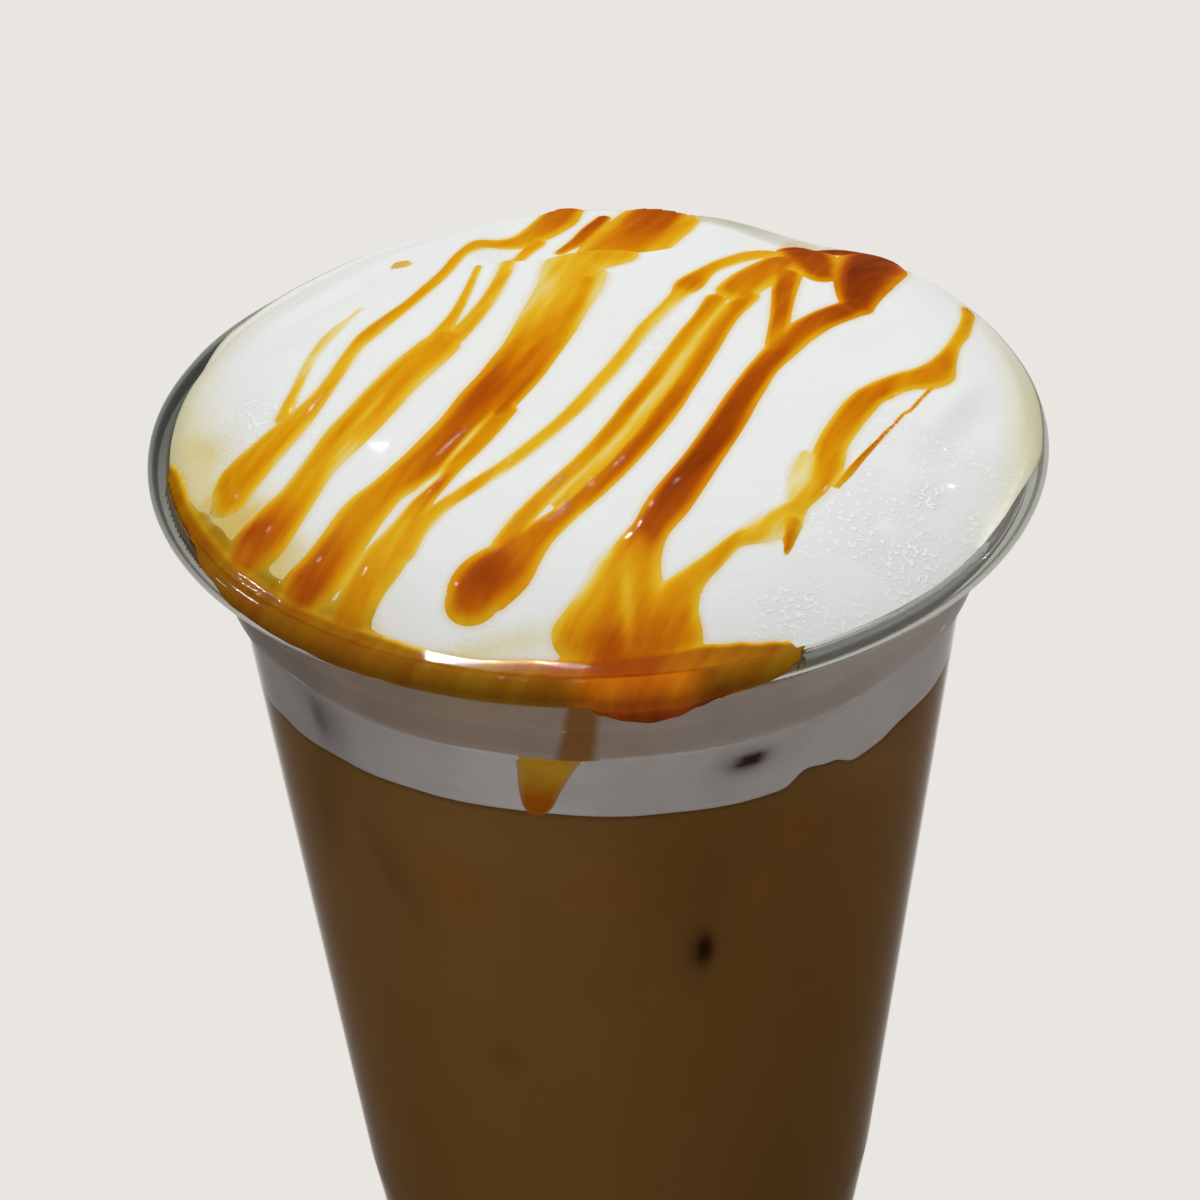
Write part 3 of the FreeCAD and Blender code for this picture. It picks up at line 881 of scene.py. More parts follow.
@dataclass(frozen=True)
class CaramelFinish:
    """Caramel sauce: pale where thin, amber to brown where thick, olive where the dark shows through."""

    name: str = "caramel_gloss"
    thin: RGB = (0.27, 0.25, 0.24)
    stops: tuple[tuple[float, RGB], ...] = (
        (0.0, (0.84, 0.80, 0.58)), (0.12, (0.83, 0.68, 0.24)), (0.26, (0.81, 0.49, 0.020)),
        (0.42, (0.75, 0.33, 0.003)), (0.56, (0.64, 0.19, 0.001)), (0.72, (0.46, 0.085, 0.001)),
        (1.0, (0.20, 0.024, 0.001)))

    def make(self) -> bpy.types.Material:
        """Builds the material.

        Returns:
            The material.
        """
        material, kit, shader = new_material(self.name)
        streaks = kit.span(kit.noise(650.0, 3.0, (1.0, 7.0, 4.0), -27.0), 0.3, 0.7, -0.07, 0.07)
        tone = kit.math("ADD", kit.attribute("tone"), streaks)
        thin = kit.mix(kit.attribute("thin"), (1.0, 1.0, 1.0), self.thin)
        kit.put(shader, Base_Color=kit.mix(1.0, kit.ramp(tone, self.stops), thin, "MULTIPLY"), Roughness=0.5,
                Specular_IOR_Level=0.0, Coat_Weight=kit.attribute("gloss"), Coat_Roughness=0.03,
                Normal=kit.bump(kit.noise(420.0, 2.0), 0.0004, 0.3))
        return material


@dataclass(frozen=True)
class DripFinish:
    """Caramel behind the wall, smeared into the foam at its edges."""

    bright: RGB = (0.62, 0.32, 0.025)
    deep: RGB = (0.42, 0.105, 0.004)
    murk: RGB = (0.27, 0.105, 0.014)
    smear: RGB = (0.40, 0.305, 0.235)

    def make(self) -> bpy.types.Material:
        """Builds the material.

        Returns:
            The material.
        """
        material, kit, shader = new_material("caramel_behind_wall")
        cloudy = kit.span(kit.noise(420.0, 3.0), 0.3, 0.7, -0.12, 0.12)
        colour = kit.mix(kit.math("ADD", kit.attribute("tone"), cloudy), self.bright, self.deep)
        for name, over in (("murk", self.murk), ("soft", self.smear)):
            colour = kit.mix(kit.attribute(name), colour, over)
        kit.put(shader, Base_Color=colour, Roughness=0.4, Specular_IOR_Level=0.0)
        return material


@dataclass(frozen=True)
class CoffeeFinish:
    """Milky iced coffee seen through the wall, with faint shapes of sunken ice and painted shade."""

    brown: RGB = (0.222, 0.104, 0.025)
    tawny: RGB = (0.28, 0.146, 0.052)
    umber: RGB = (0.145, 0.070, 0.015)
    rust: RGB = (0.27, 0.105, 0.018)
    dark: RGB = (0.035, 0.012, 0.006)

    def make(self) -> bpy.types.Material:
        """Builds the material.

        Returns:
            The material.
        """
        material, kit, shader = new_material("coffee_drink")
        broad = kit.span(kit.noise(26.0, 3.0), 0.35, 0.7, 0.0, 1.0)
        colour = kit.mix(kit.math("MULTIPLY", broad, 0.35), self.brown, self.tawny)
        # shadow mixes in umber as painted shade, and dimmed darkens the colour further by azimuth.
        for name, over in (("pale", self.tawny), ("shadow", self.umber), ("rust", self.rust),
                           ("dark", self.dark)):
            colour = kit.mix(kit.attribute(name), colour, over)
        kit.put(shader, Base_Color=kit.dimmed(colour, 0.5), Roughness=0.5, Specular_IOR_Level=0.0)
        return material


@dataclass(frozen=True)
class CupFinish:
    """Clear moulded plastic: nearly unseen as a thin wall, greener and darker where it is rolled up, partly
    its own tint and partly painted shade, most at the left.
    """

    name: str = "clear_cup"
    tint: RGB = (0.97, 0.975, 0.97)
    # The roll's darker colour is partly the thicker plastic's own tint and partly painted shade; deep is
    # painted shade.
    rolled: RGB = (0.44, 0.45, 0.42)
    deep: RGB = (0.11, 0.125, 0.11)
    passed: RGB = (0.93, 0.93, 0.93)
    ior: float = 1.02
    roughness: float = 0.0

    def make(self) -> bpy.types.Material:
        """Builds the material, which lets light through on its way to what is inside.

        Returns:
            The material.
        """
        material, kit, shader = new_material(self.name)
        colour = kit.mix(kit.attribute("rolled"), self.tint, self.rolled)
        colour = kit.mix(kit.attribute("deep"), colour, self.deep)
        kit.put(shader, Base_Color=colour, Transmission_Weight=1.0, IOR=self.ior, Roughness=self.roughness)
        clear = kit.add("ShaderNodeBsdfTransparent", Color=(*self.passed, 1.0))
        rays = kit.add("ShaderNodeLightPath").outputs
        passing = kit.math("MAXIMUM", rays["Is Shadow Ray"], rays["Is Diffuse Ray"])
        mix = kit.add("ShaderNodeMixShader", Fac=passing)
        kit.link(shader.outputs[0], mix.inputs[1])
        kit.link(clear.outputs[0], mix.inputs[2])
        kit.put(kit.output(), Surface=mix.outputs[0])
        return material


@dataclass
class Cup:
    """The clear cup: one turned wall with stacking step, ridge, flared lip and rolled rim.

    Roll angles are in degrees round the middle of the roll, and the roll's own look starts a
    little below it.
    """

    steps: int = 256
    wall: float = Radius.WALL.value
    roll_start: float = 170.0
    roll_end: float = -70.0
    tint_below: float = 2.8
    glass_below: float = 2.75
    # Where painted shade darkens the roll most, and how widely.
    deep_azimuth: float = -95.0
    deep_width: float = 34.0

    def roll(self, radius: float, angles: Array) -> Line:
        """Arc round the middle of the rolled rim."""
        return [(Radius.CURL_MID.value + radius * math.cos(a), Level.CURL.value + radius * math.sin(a))
                for a in np.radians(angles)]

    def profile(self) -> Line:
        """Closed line of the wall: inner face up, rim over, outer face down.

        Returns:
            Its (radius, height) points.
        """
        w = self.wall
        inner = rounded([
            (0.0, 2.6 + w, 0), (22.1, 2.6 + w, 1.0), (24.5, w, 0.8), (29.8, w, 3.2), (30.8, 7.5, 1.5),
            (32.1, 17.0, 6.0), (40.4, 106.3, 0.5), (41.7, 106.65, 0.5), (42.2, 111.4, 0.7),
            (43.1, 112.4, 0.6), (43.35, 113.8, 1.2), (46.4, 117.9, 2.2), (46.4, 119.7, 0)])
        outer = rounded([
            (0.0, 2.6, 0), (22.35, 2.6, 1.4), (24.75, 0.0, 0.3), (30.25, 0.0, 3.7), (31.3, 7.45, 2.0),
            (32.6, 17.0, 6.5), (40.9, 105.9, 0.3), (42.2, 106.2, 0.9), (42.7, 111.0, 0.4), (43.6, 112.2, 0.9),
            (43.85, 113.6, 0.8), (46.9, 117.7, 1.7), (46.9, 119.7, 0)])
        curl = Radius.CURL.value
        over = self.roll(curl, np.linspace(self.roll_start, self.roll_end, 25))
        under = self.roll(curl - w, np.linspace(self.roll_end, self.roll_start, 19))
        return inner + over + under + outer[::-1]

    def build(self) -> bpy.types.Object:
        """Makes the cup and names what it stands for.

        Returns:
            The cup.
        """
        obj = spun("clear_cup", self.profile(), self.steps)
        p = points_of(obj)
        rho, azimuth = np.hypot(p[:, 0], p[:, 1]), azimuth_of(p[:, 0], p[:, 1])
        rim = smooth((p[:, 2] - Level.RIM.value + self.tint_below) / 0.6) * smooth((rho - 46.2) / 0.4)
        put_points(obj, bent(p))
        # rolled tints the roll, partly painted shade; deep is painted shade on the roll's left side.
        set_shares(obj, rolled=rim, deep=rim * sector(azimuth, self.deep_azimuth, self.deep_width))
        obj.data.materials.append(CupFinish().make())
        obj.data.materials.append(CupFinish(name="clear_rim", ior=1.28, roughness=0.06).make())
        heights = np.array([face.center.z for face in obj.data.polygons]) / MM
        rolled = (heights > Level.RIM.value - self.glass_below).astype(np.int32)
        obj.data.polygons.foreach_set("material_index", rolled)
        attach(obj, "root")
        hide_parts("cup")
        logging.getLogger("cup").info("%d points", len(obj.data.vertices))
        return obj


@dataclass
class Coffee:
    """The drink up to the foam, reaching just into the wall.

    The patches go by azimuth and depth below the rim plane.
    """

    foam: FoamShape
    wall: WallLine
    into_wall: float = 0.28
    steps: int = 300
    rows: int = 110
    stretch_from: float = 78.0
    foot: Line = field(default_factory=lambda: [(0.0, 3.05), (22.0, 3.05), (23.8, 1.2), (24.9, 0.62)])
    pale: tuple[Spot, ...] = (
        (0.8, 45.0, 27.0, 12.0, 3.5, 20.0), (0.5, -20.0, 28.0, 22.0, 6.0),
        (0.5, -45.0, 35.0, 10.0, 4.0, 40.0), (0.6, 29.0, 66.5, 1.3, 1.0), (0.5, 28.0, 57.0, 1.0, 0.9),
        (0.4, 6.5, 51.0, 1.3, 1.1), (0.4, -36.0, 42.0, 1.6, 1.0))
    shadow: tuple[Spot, ...] = (
        (0.6, -52.0, 32.0, 4.0, 9.0, 25.0), (0.5, -38.0, 38.0, 3.0, 8.0, -40.0),
        (0.4, 15.0, 34.0, 9.0, 9.0), (0.45, -20.0, 62.6, 2.6, 2.2))
    rust: tuple[Spot, ...] = (
        (0.7, -26.0, 36.0, 6.0, 4.0, 35.0), (0.8, 31.0, 30.5, 4.0, 3.0), (0.6, 24.0, 37.5, 3.0, 2.6),
        (0.5, 0.0, 34.0, 8.0, 3.0))
    dark: tuple[Spot, ...] = ((0.95, 15.0, 44.8, 1.5, 2.4), (0.35, 14.0, 45.0, 3.0, 4.5))
    # Painted shade: how much the coffee is darkened at each azimuth, away from the light.
    dim: Table = field(default_factory=lambda: {
        -180.0: 0.4, -70.0: 0.5, -50.0: 0.3, -25.0: 0.05, -5.0: 0.12, 8.0: 0.3, 40.0: 0.5, 60.0: 0.45,
        80.0: 0.4})

    def build(self) -> bpy.types.Object:
        """Makes the coffee with its shading values.

        Returns:
            The coffee.
        """
        top = Level.CORE.value
        heights = np.concatenate([[0.62, 1.2, 2.0, 3.0, 4.5], np.linspace(6.0, top, self.rows)])
        profile = self.foot + [(float(self.wall.at(h)) + self.into_wall, float(h)) for h in heights]
        profile += [(34.0, top), (20.0, top), (0.0, top)]
        obj = spun("coffee_drink", profile, self.steps)
        p = points_of(obj)
        rho = np.hypot(p[:, 0], p[:, 1])
        edge = Level.RIM.value + self.foam.foot_at(azimuth_of(p[:, 0], p[:, 1]))
        part = smooth((p[:, 2] - self.stretch_from) / (top - self.stretch_from))
        z = p[:, 2] + (edge - top) * part * smooth(rho / 20.0)
        at_wall = (rho > 33.0) & (p[:, 2] > 60.0)
        grown = np.where(at_wall, (self.wall.at(z) + self.into_wall) / np.maximum(rho, 1.0), 1.0)
        grown = np.where((rho < 34.5) & (p[:, 2] > top - 0.01), 1.0, grown)
        p = np.column_stack([p[:, 0] * grown, p[:, 1] * grown, z])
        put_points(obj, p)
        self.shade(obj, azimuth_of(p[:, 0], p[:, 1]), Level.RIM.value - p[:, 2])
        obj.data.materials.append(CoffeeFinish().make())
        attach(obj, "root")
        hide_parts("coffee")
        logging.getLogger("coffee").info("%d points", len(p))
        return obj

    def shade(self, obj: bpy.types.Object, azimuth: Array, depth: Array) -> None:
        """Faint patches where ice and bubbles lie against the wall, and painted shade: darker lower down,
        towards the right and by azimuth.

        Args:
            obj: the coffee.
            azimuth, depth: where its points are.
        """
        # Painted shade: besides its patches, darker the deeper it lies and from the front round to the right.
        shadow = (spots(azimuth, depth, self.shadow)
                  + 0.5 * smooth((depth - 30.0) / 60.0) * smooth((azimuth + 10.0) / 50.0)
                  * smooth((150.0 - azimuth) / 60.0) * 0.8)
        set_shares(obj, pale=spots(azimuth, depth, self.pale), shadow=shadow,
                   rust=spots(azimuth, depth, self.rust), dark=spots(azimuth, depth, self.dark),
                   dim=round_table(azimuth, self.dim))


@dataclass
class MilkFoam:
    """The foam: domed top, sides against the wall, foot on the coffee.

    Puddles and wet places go by x and y, and dark ones by azimuth and depth below the rim plane.
    """

    foam: FoamShape
    caramel: CaramelField
    wall: WallLine
    count: int = 241
    side_rows: int = 24
    into_wall: float = 0.26
    roll_width: float = 0.9
    over_curl: float = 0.08
    puddles: tuple[Spot, ...] = (
        (0.8, -38.6, -17.2, 4.6, 3.0, -30.0), (0.8, -33.6, -26.4, 4.4, 2.4, -40.0),
        (0.7, -29.4, -33.0, 3.6, 2.2, -40.0), (0.5, -43.0, -8.0, 2.4, 8.0, 12.0),
        (0.6, -13.0, -43.0, 12.0, 1.6, 12.0))
    wets: tuple[Spot, ...] = (
        (1.0, 33.0, -22.0, 12.0, 8.0, 30.0), (0.7, -37.0, -6.0, 7.0, 9.0),
        (0.5, 6.0, 8.0, 3.0, 14.0, 20.0), (0.5, 20.0, -36.0, 12.0, 5.0, 20.0))
    darks: tuple[Spot, ...] = (
        (0.97, 21.3, 18.1, 2.6, 0.85, -4.0), (0.5, 20.5, 18.4, 4.4, 1.7),
        (0.35, -49.0, 19.5, 1.9, 3.2, -12.0), (0.30, -46.5, 18.5, 4.5, 3.8))
    # Painted shade: how much the side seen through the wall is darkened at each azimuth, most at the far
    # left.
    dim: Table = field(default_factory=lambda: {
        -180.0: 0.4, -75.0: 0.62, -50.0: 0.56, -36.0: 0.3, -16.0: 0.0, 2.0: 0.10, 20.0: 0.24, 45.0: 0.20,
        75.0: 0.26})

    def disc(self) -> tuple[Array, Array, list[int]]:
        """Even grid spread over a unit disc.

        Returns:
            The points' x and y, and the indices round its edge.
        """
        t = np.linspace(-1, 1, self.count)
        a, b = np.meshgrid(t, t, indexing="ij")
        with np.errstate(divide="ignore", invalid="ignore"):
            wide = np.abs(a) > np.abs(b)
            r = np.where(wide, a, b)
            angle = np.where(wide, math.pi / 4 * b / a, math.pi / 2 - math.pi / 4 * a / b)
        angle = np.nan_to_num(angle)
        x, y = r * np.cos(angle), r * np.sin(angle)
        n = self.count
        ring = ([i * n for i in range(n)] + [(n - 1) * n + j for j in range(1, n)]
                + [i * n + n - 1 for i in range(n - 2, -1, -1)] + [j for j in range(n - 2, 0, -1)])
        return x.ravel(), y.ravel(), ring

    def build(self) -> bpy.types.Object:
        """Makes the foam with its shading values.

        Returns:
            The foam.
        """
        ux, uy, ring = self.disc()
        azimuth = azimuth_of(ux, uy)
        reach = round_table(azimuth, self.foam.reach)
        x, y = ux * reach, uy * reach
        rho = np.hypot(x, y)
        top = self.foam.top(x, y)
        over = (rho > Radius.LIP.value - 0.3) & (reach > ON_RIM)
        roll = smooth((rho - (reach - self.roll_width)) / self.roll_width)
        top = np.where(over, np.maximum(top - 0.25 * roll, curl_top(rho) + self.over_curl), top)
        rim = Level.RIM.value
        verts = [np.column_stack([x, y, rim + top])]
        n = self.count
        faces = [(i * n + j, (i + 1) * n + j, (i + 1) * n + j + 1, i * n + j + 1)
                 for i in range(n - 1) for j in range(n - 1)]
        direction = np.column_stack([ux[ring], uy[ring]])
        start_z = np.minimum(rim + top[ring] - 0.05, rim - 0.9)
        foot_z = rim + self.foam.foot_at(azimuth[ring])
        previous, base, around = list(ring), len(x), len(ring)
        for row in range(self.side_rows + 1):
            z = start_z + (foot_z - start_z) * row / self.side_rows
            radius = self.wall.at(z) + self.into_wall
            verts.append(np.column_stack([direction * radius[:, None], z]))
            current = list(range(base, base + around))
            for i in range(around):
                k = (i + 1) % around
                faces.append((previous[i], current[i], current[k], previous[k]))
            previous, base = current, base + around
        verts.append(np.array([[0.0, 0.0, Level.CORE.value]]))
        faces += [(previous[i], base, previous[(i + 1) % around]) for i in range(around)]
        points = np.vstack(verts)
        obj = mesh_object("milk_foam_top", points, faces)
        turn_out(obj)
        self.shade(obj, points, len(x))
        obj.data.materials.append(FoamFinish().make())
        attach(obj, "root")
        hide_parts("milk_foam")
        logging.getLogger("milk_foam").info("%d points", len(points))
        return obj

    def shade(self, obj: bpy.types.Object, points: Array, top_count: int) -> None:
        """Stains, wetness and the dim tints of the side.

        Args:
            obj: the foam.
            points: its points in millimetres.
            top_count: how many of them, from the first, make the top.
        """
        x, y = points[:, 0], points[:, 1]
        azimuth, rho = azimuth_of(x, y), np.hypot(x, y)
        depth = Level.RIM.value - points[:, 2]
        is_side = (np.arange(len(points)) >= top_count).astype(float)
        is_top = 1 - is_side
        left = smooth((rho - 40.0) / 8.0) * sector(azimuth, -78.0, 40.0)
        right = smooth((rho - 42.5) / 6.0) * sector(azimuth, 84.0, 24.0)
        seep = 0.42 * smooth((self.caramel.read(x, y)[0] + 0.40) / 0.45) ** 1.5
        seep = np.maximum(seep, 0.75 * smooth((rho - 37.5) / 5.0) * sector(azimuth, -60.0, 19.0)
                          * smooth((ripple(x, y, 0.0, 2.1, 8.0) + 0.5) / 0.5))
        # Painted shade: greyer olive along the top's rim edge at the right, at the back right and at the
        # left.
        dull = (0.75 * smooth((rho - 45.6) / 2.6) * sector(azimuth, 78.0, 30.0)
                + 0.8 * smooth((rho - 45.8) / 2.0) * sector(azimuth, 158.0, 10.0)
                + 0.35 * smooth((rho - 44.2) / 2.2) * sector(azimuth, -88.0, 30.0))
        puddle = spots(x, y, self.puddles) + 0.55 * smooth((rho - 36.0) / 6.0) * sector(azimuth, -64.0, 22.0)
        puddle = puddle * (1 + 0.5 * ripple(x, y, 0.0, 1.6, 5.0))
        stain = puddle + 0.9 * left + 0.8 * right + 0.05 * ripple(x, y, 0.0, 5.0, 9.0)
        wet = (spots(x, y, self.wets) + 0.12) * smooth((ripple(x, y, 0.0, 2.0, 12.0) + 0.7) / 1.1)
        upper = smooth((14.9 - depth) / 1.2)
        tan = (upper * (0.25 + 0.75 * sector(azimuth, -18.0, 45.0))
               + 0.35 * smooth((depth - 21.5) / 3.0) * 0.4 + 0.1 * ripple(x, y, points[:, 2], 9.0, 2.0))
        set_shares(obj, side=is_side, stain=stain, seep=seep * is_top, dull=dull * is_top,
                   dim=round_table(azimuth, self.dim) * is_side, wet=wet * is_top, tan=tan,
                   dark=spots(azimuth, depth, self.darks))


@dataclass
class CaramelSheet:
    """All caramel on top: runs and pool as one skin that dips into the foam where it ends."""

    foam: FoamShape
    caramel: CaramelField
    pitch: float = 0.32
    root: float = 0.7
    skin: float = 0.15
    thin_past: float = 46.2
    shown_over: float = -0.08
    dip: float = -0.5

    def heights(self, x: Array, y: Array, height: Array) -> Array:
        """Takes the caramel off where it would stand past the rim.

        Args:
            x, y: points in millimetres.
            height: the caramel's heights over the foam.

        Returns:
            The heights, below zero where nothing is shown.
        """
        rho = np.hypot(x, y)
        reach = round_table(azimuth_of(x, y), self.foam.reach)
        past_lip = rho > Radius.LIP.value + self.caramel.past_lip
        height = np.where((reach < ON_RIM) & past_lip, BARE, height)
        height = np.where((reach >= ON_RIM) & (rho > reach - 0.5), -1.0, height)
        return np.where(rho > Radius.RIM.value - 0.05, -1.0, height)

    def corners(self, shown: Array, inside: Array) -> Array:
        """Cells of the grid that the caramel covers.

        Args:
            shown: the grid points that have caramel.
            inside: the grid points within the rim.

        Returns:
            The indices of each cell's four corners.
        """
        count = len(shown)
        cell = shown[:-1, :-1] | shown[1:, :-1] | shown[1:, 1:] | shown[:-1, 1:]
        cell &= inside[:-1, :-1] & inside[1:, :-1] & inside[1:, 1:] & inside[:-1, 1:]
        i, j = np.nonzero(cell)
        first, second = i * count + j, (i + 1) * count + j
        return np.stack([first, second, second + 1, first + 1], axis=1)

    def faces(self, corners: list[list[int]], count: int) -> Faces:
        """Closes the two skins along their open edges.

        Args:
            corners: the upper skin's faces.
            count: how many points each skin has.

        Returns:
            All faces, over the upper skin's points and then the lower one's.
        """
        faces = [tuple(c) for c in corners] + [tuple(k + count for k in c[::-1]) for c in corners]
        edges: dict[tuple[int, int], int] = {}
        for c in corners:
            for a, b in zip(c, c[1:] + c[:1]):
                if (b, a) in edges:
                    del edges[(b, a)]
                else:
                    edges[(a, b)] = 1
        return faces + [(b, a, a + count, b + count) for a, b in edges]

    def build(self) -> bpy.types.Object:
        """Makes the sheet.

        Returns:
            The sheet.
        """
        edge = Radius.RIM.value + 0.2
        count = int(2 * edge / self.pitch) + 1
        t = np.linspace(-edge, edge, count)
        gx, gy = np.meshgrid(t, t, indexing="ij")
        x, y = gx.ravel(), gy.ravel()
        height, tone, thin = self.caramel.read(x, y)
        height = self.heights(x, y, height)
        shown = (height > self.shown_over).reshape(count, count)
        corners = self.corners(shown, np.hypot(gx, gy) < Radius.RIM.value + 0.1)
        used, inverse = np.unique(corners, return_inverse=True)
        x, y = x[used], y[used]
        base = Level.RIM.value + self.foam.top(x, y)
        top_z = base + np.maximum(height[used], self.dip)
        low_z = np.where(np.hypot(x, y) > self.thin_past, top_z - self.skin, base - self.root)
        low_z = np.minimum(low_z, top_z - self.skin)
        verts = np.vstack([np.column_stack([x, y, top_z]), np.column_stack([x, y, low_z])])
        obj = mesh_object("caramel_sauce", verts, self.faces(inverse.reshape(-1, 4).tolist(), len(used)))
        gloss = 0.03 + 0.06 * smooth((-14.0 - y) / 16.0)
        set_shares(obj, tone=np.tile(tone[used], 2), thin=np.tile(thin[used], 2), gloss=np.tile(gloss, 2))
        obj.data.materials.append(CaramelFinish().make())
        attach(obj, "root")
        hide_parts("caramel", "caramel_left", "caramel_far_left", "caramel_back")
        logging.getLogger("caramel").info("%d points", len(verts))
        return obj


@dataclass
class Drip:
    """Caramel that has run down between foam and wall.

    Its middle and half-width are in degrees of azimuth, by depth below the rim plane.
    """

    wall: WallLine
    rows: int = 60
    columns: int = 30
    first: float = 3.4
    last: float = 23.4
    centre: Table = field(default_factory=lambda: {
        3.4: -2.6, 8.5: -3.4, 11.0: -3.8, 14.3: -4.6, 14.9: -8.4, 17.0: -9.2, 20.0: -10.2, 23.0: -10.8})
    half: Table = field(default_factory=lambda: {
        3.4: 2.4, 8.5: 3.0, 11.0: 3.1, 14.3: 3.5, 14.9: 5.4, 17.0: 4.4, 20.0: 3.3, 22.0: 2.5, 23.0: 1.5,
        23.4: 0.3})

    def build(self) -> bpy.types.Object:
        """Makes the drip as a thin closed lens that follows the wall.

        Returns:
            The drip.
        """
        depth = np.linspace(self.first, self.last, self.rows)[:, None]
        across = np.linspace(-1, 1, self.columns)[None]
        middle = np.interp(depth, list(self.centre), list(self.centre.values()))
        half = np.interp(depth, list(self.half), list(self.half.values()))
        azimuth = np.radians(middle + half * across)
        z = Level.RIM.value - depth + 0 * across
        bulge = np.sqrt(np.clip(1 - across ** 2, 0, 1)) * smooth(half / 1.5)
        front = self.wall.at(z) + 0.18 + 0.20 * bulge - 0.5 * smooth((4.6 - depth) / 1.2)
        back = self.wall.at(z) - 0.10 - 0.6 * bulge
        verts = [np.column_stack([(radius * np.sin(azimuth)).ravel(), (-radius * np.cos(azimuth)).ravel(),
                                  z.ravel()]) for radius in (front, back)]
        obj = mesh_object("caramel_drip_inside", np.vstack(verts), closed_skin(self.rows, self.columns))
        turn_out(obj)
        soft = smooth((15.4 - depth) / 0.8) * (0.12 + 0.88 * smooth((np.abs(across) - 0.5) / 0.5))
        soft = np.maximum(soft, 0.45 * smooth((np.abs(across) - 0.6) / 0.4))
        soft = np.maximum(soft, smooth((5.4 - depth) / 1.6))
        tone = smooth((depth - 16.0) / 6.0) + 0.0 * z
        murk = smooth((14.8 - depth) / 0.8) + 0.0 * z
        set_shares(obj, tone=np.tile(tone.ravel(), 2), soft=np.tile(soft.ravel(), 2),
                   murk=np.tile(murk.ravel(), 2))
        obj.data.materials.append(DripFinish().make())
        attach(obj, "root")
        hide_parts("caramel_drip")
        logging.getLogger("caramel_drip").info("%d points", len(obj.data.vertices))
        return obj


@dataclass
class RimFilm:
    """Caramel that has run over the rolled rim: a thin skin on the roll, and a tongue below it.

    Tables go by azimuth. The skin goes round the roll from its inner angle to its end angle in the
    first share of its rows, and the rest of them hang down.
    """

    first: float = -68.0
    last: float = 26.0
    step: float = 0.35
    rows: int = 44
    inner_angle: float = 172.0
    skin: float = 0.14
    swollen: float = 0.55
    roll_share: float = 0.62
    hang_share: float = 0.38
    end_angle: Table = field(default_factory=lambda: {
        -68.0: 160.0, -63.0: 104.0, -56.0: 54.0, -48.0: 18.0, -40.0: -2.0, -31.0: -14.0, -22.0: -22.0,
        -12.0: -32.0, -4.0: -38.0, 12.0: -36.0, 15.0: -24.0, 18.0: -14.0, 20.5: 2.0, 22.5: 40.0,
        24.0: 100.0, 25.0: 150.0, 26.0: 171.0})
    hang: Table = field(default_factory=lambda: {
        -68.0: 0.0, -2.6: 0.0, -0.6: 1.3, 2.4: 2.5, 5.2: 2.9, 8.0: 2.3, 10.6: 1.2, 13.0: 0.5, 16.0: 0.0,
        26.0: 0.0})
    tone: Table = field(default_factory=lambda: {
        -68.0: 0.50, -35.0: 0.50, -22.0: 0.42, -8.0: 0.46, -2.0: 0.62, 5.0: 0.68, 10.0: 0.62, 16.0: 0.46,
        26.0: 0.38})

    def build(self) -> bpy.types.Object:
        """Makes the film as a closed skin round the roll.

        Returns:
            The film.
        """
        azimuth = np.arange(self.first, self.last + 0.01, self.step)
        uneven = ripple(azimuth, 0 * azimuth, 0.0, 1.6, 2.0)
        last_angle = round_table(azimuth, self.end_angle) + 9.0 * uneven * (np.abs(azimuth + 12.0) > 14.0)
        hang = np.maximum(round_table(azimuth, self.hang), 0.0) * (1 + 0.10 * uneven)
        bare = 1 - smooth((azimuth + 6.0) / 6.0) * smooth((13.0 - azimuth) / 5.0)
        turn = np.radians(azimuth)
        layers: list[list[Array]] = [[], []]
        tones, thins = [], []
        for row in range(self.rows):
            t = row / (self.rows - 1)
            angle = self.inner_angle + (last_angle - self.inner_angle) * min(t / self.roll_share, 1.0)
            angle = np.radians(angle)
            drop = hang * max(t - self.roll_share, 0.0) / self.hang_share
            low = max(t - self.roll_share, 0.0) / self.hang_share
            round_off = math.sqrt(max(1.0 - (max(t - 0.5, 0.0) / 0.5) ** 4, 0.0))
            swell = smooth((t - 0.30) / 0.3) * smooth(hang / 2.2)
            thick = (self.skin + self.swollen * swell) * round_off
            for layer, out, lean in zip(layers, (thick, 0 * thick - 0.10), (1, 1.25)):
                r = Radius.CURL_MID.value + (Radius.CURL.value + out) * np.cos(angle) - 0.32 * drop * lean
                z = Level.CURL.value + (Radius.CURL.value + out) * np.sin(angle) - drop
                layer.append(np.column_stack([r * np.sin(turn), -r * np.cos(turn), z]))
            cloudy = ripple(azimuth, 0 * azimuth + 9 * t, 0.0, 5.0, 6.0)
            base = round_table(azimuth, self.tone) + 0.08 * cloudy
            # Darker down the hanging tongue: partly its greater thickness, partly painted shade on its lower
            # part.
            tones.append(base + 0.18 * smooth((t - 0.42) / 0.35) * smooth(hang / 1.2) + 0.1 * low)
            thins.append((0.72 + 0.16 * smooth(t / 0.3)) * bare + 0.15 * low)
        rows, columns = self.rows, len(azimuth)
        obj = mesh_object("caramel_rim_film", np.vstack(layers[0] + layers[1]), closed_skin(rows, columns))
        turn_out(obj)
        gloss = np.repeat(0.09 - 0.06 * smooth((np.arange(rows) / rows - 0.45) / 0.3), columns)
        set_shares(obj, tone=np.concatenate(tones * 2), thin=np.concatenate(thins * 2),
                   gloss=np.tile(gloss, 2))
        obj.data.materials.append(bpy.data.materials[CaramelFinish.name])
        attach(obj, "root")
        logging.getLogger("caramel_rim").info("%d points", len(obj.data.vertices))
        return obj


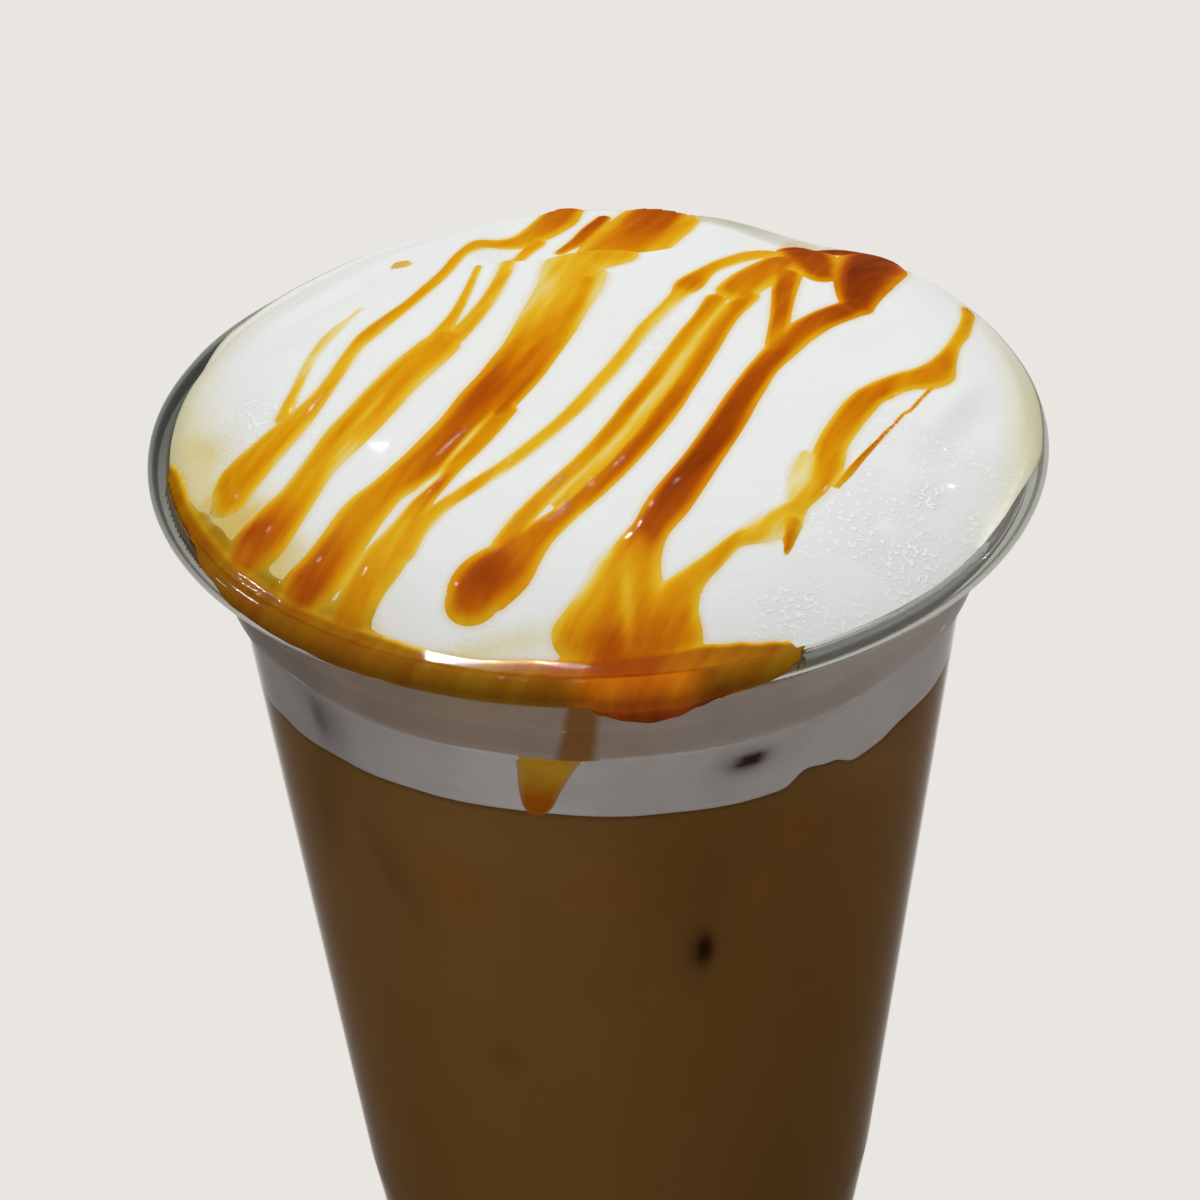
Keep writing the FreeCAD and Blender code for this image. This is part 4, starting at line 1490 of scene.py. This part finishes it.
@dataclass
class Studio:
    """Camera, lights and the plain pale surroundings."""

    pale: RGB = (0.814, 0.791, 0.753)
    fill: float = 0.34
    focal: float = 87.714
    eye: RGB = (0.0, -0.271818, 0.289863)
    right: RGB = (0.99948336, -0.01785209, -0.02672672)
    up: RGB = (0.03212732, 0.578779, 0.81485134)
    aim: RGB = (0.0, 0.0, 0.12)
    floor_size: float = 6.0

    def build(self) -> None:
        """Places camera, floor, lights and world."""
        self.camera()
        self.floor()
        self.lights()
        self.world()

    def camera(self) -> None:
        """Camera at the front, looking down on the drink."""
        data = bpy.data.cameras.new("camera")
        data.lens = self.focal
        data.sensor_width = 36.0
        data.clip_start = 0.01
        obj = linked("camera", data)
        right, up = Vector(self.right).normalized(), Vector(self.up).normalized()
        back = right.cross(up).normalized()
        turn = Matrix((right, back.cross(right), back)).transposed().to_4x4()
        obj.matrix_world = Matrix.Translation(Vector(self.eye)) @ turn
        bpy.context.scene.camera = obj

    def floor(self) -> None:
        """Pale floor that is plain to the camera and takes a faint shadow."""
        bpy.ops.mesh.primitive_plane_add(size=self.floor_size, location=(0, 0, 0))
        obj = bpy.context.object
        obj.name = "floor"
        material, kit, shader = new_material("floor")
        kit.put(shader, Base_Color=(*self.pale, 1.0), Roughness=0.9)
        plain = kit.add("ShaderNodeEmission", Color=(*self.pale, 1.0))
        self.seen_plain(kit, shader.outputs[0], plain.outputs[0])
        obj.data.materials.append(material)

    def seen_plain(self, kit: NodeKit, lit: Socket, plain: Socket) -> None:
        """Shows one shader to the camera, in gloss and through glass, and the other to the rest.

        Args:
            kit: of the floor's material or the world.
            lit: the shader that light meets.
            plain: the shader that is seen.
        """
        rays = kit.add("ShaderNodeLightPath").outputs
        seen = kit.math("MAXIMUM", rays["Is Camera Ray"], rays["Is Glossy Ray"])
        seen = kit.math("MAXIMUM", seen, rays["Is Transmission Ray"])
        mix = kit.add("ShaderNodeMixShader", Fac=seen)
        kit.link(lit, mix.inputs[1])
        kit.link(plain, mix.inputs[2])
        kit.put(kit.output(), Surface=mix.outputs[0])

    def lamp(self, name: str, place: RGB, size: tuple[float, float], power: float, glint: bool) -> None:
        """One light aimed at the foam.

        Args:
            name: its name.
            place: where it hangs, in metres.
            size: its width and height in metres.
            power: its power in watts.
            glint: whether it only glints on surfaces; otherwise it only lights them.
        """
        data = bpy.data.lights.new(name, "AREA")
        data.shape = "RECTANGLE"
        data.size, data.size_y = size
        data.energy = power
        obj = linked(name, data)
        obj.visible_glossy = glint
        obj.visible_diffuse = not glint
        obj.visible_transmission = not glint
        obj.location = place
        obj.rotation_euler = (Vector(self.aim) - Vector(place)).to_track_quat("-Z", "Y").to_euler()

    def lights(self) -> None:
        """Strong light from above and behind, so the top is bright and the side dim."""
        self.lamp("above", (0.03, 0.10, 0.78), (0.30, 0.30), 2.85, False)
        self.lamp("spark", (-0.34, 0.28, 0.52), (0.02, 0.02), 0.16, True)
        self.lamp("gleam", (0.36, 0.28, 0.52), (0.015, 0.015), 0.10, True)
        self.lamp("glint", (-0.030, 0.46, 0.49), (0.05, 0.003), 0.36, True)
        self.lamp("wink", (-0.110, 0.420, 0.450), (0.012, 0.006), 0.24, True)

    def world(self) -> None:
        """Even surroundings, pale where they are seen."""
        world = bpy.data.worlds.new("world")
        bpy.context.scene.world = world
        world.use_nodes = True
        kit = NodeKit(world.node_tree)
        shader = kit.put(world.node_tree.nodes["Background"], Color=(1, 1, 1, 1), Strength=self.fill)
        plain = kit.add("ShaderNodeBackground", Color=(*self.pale, 1.0))
        self.seen_plain(kit, shader.outputs[0], plain.outputs[0])


def main() -> None:
    """Builds the drink, then the studio."""
    bpy.context.scene.view_settings.view_transform = "Standard"
    foam, wall = FoamShape(), WallLine()
    caramel = CaramelField(foam)
    Cup().build()
    Coffee(foam, wall).build()
    MilkFoam(foam, caramel, wall).build()
    CaramelSheet(foam, caramel).build()
    Drip(wall).build()
    RimFilm().build()
    Studio().build()


if __name__ == "__main__":
    main()
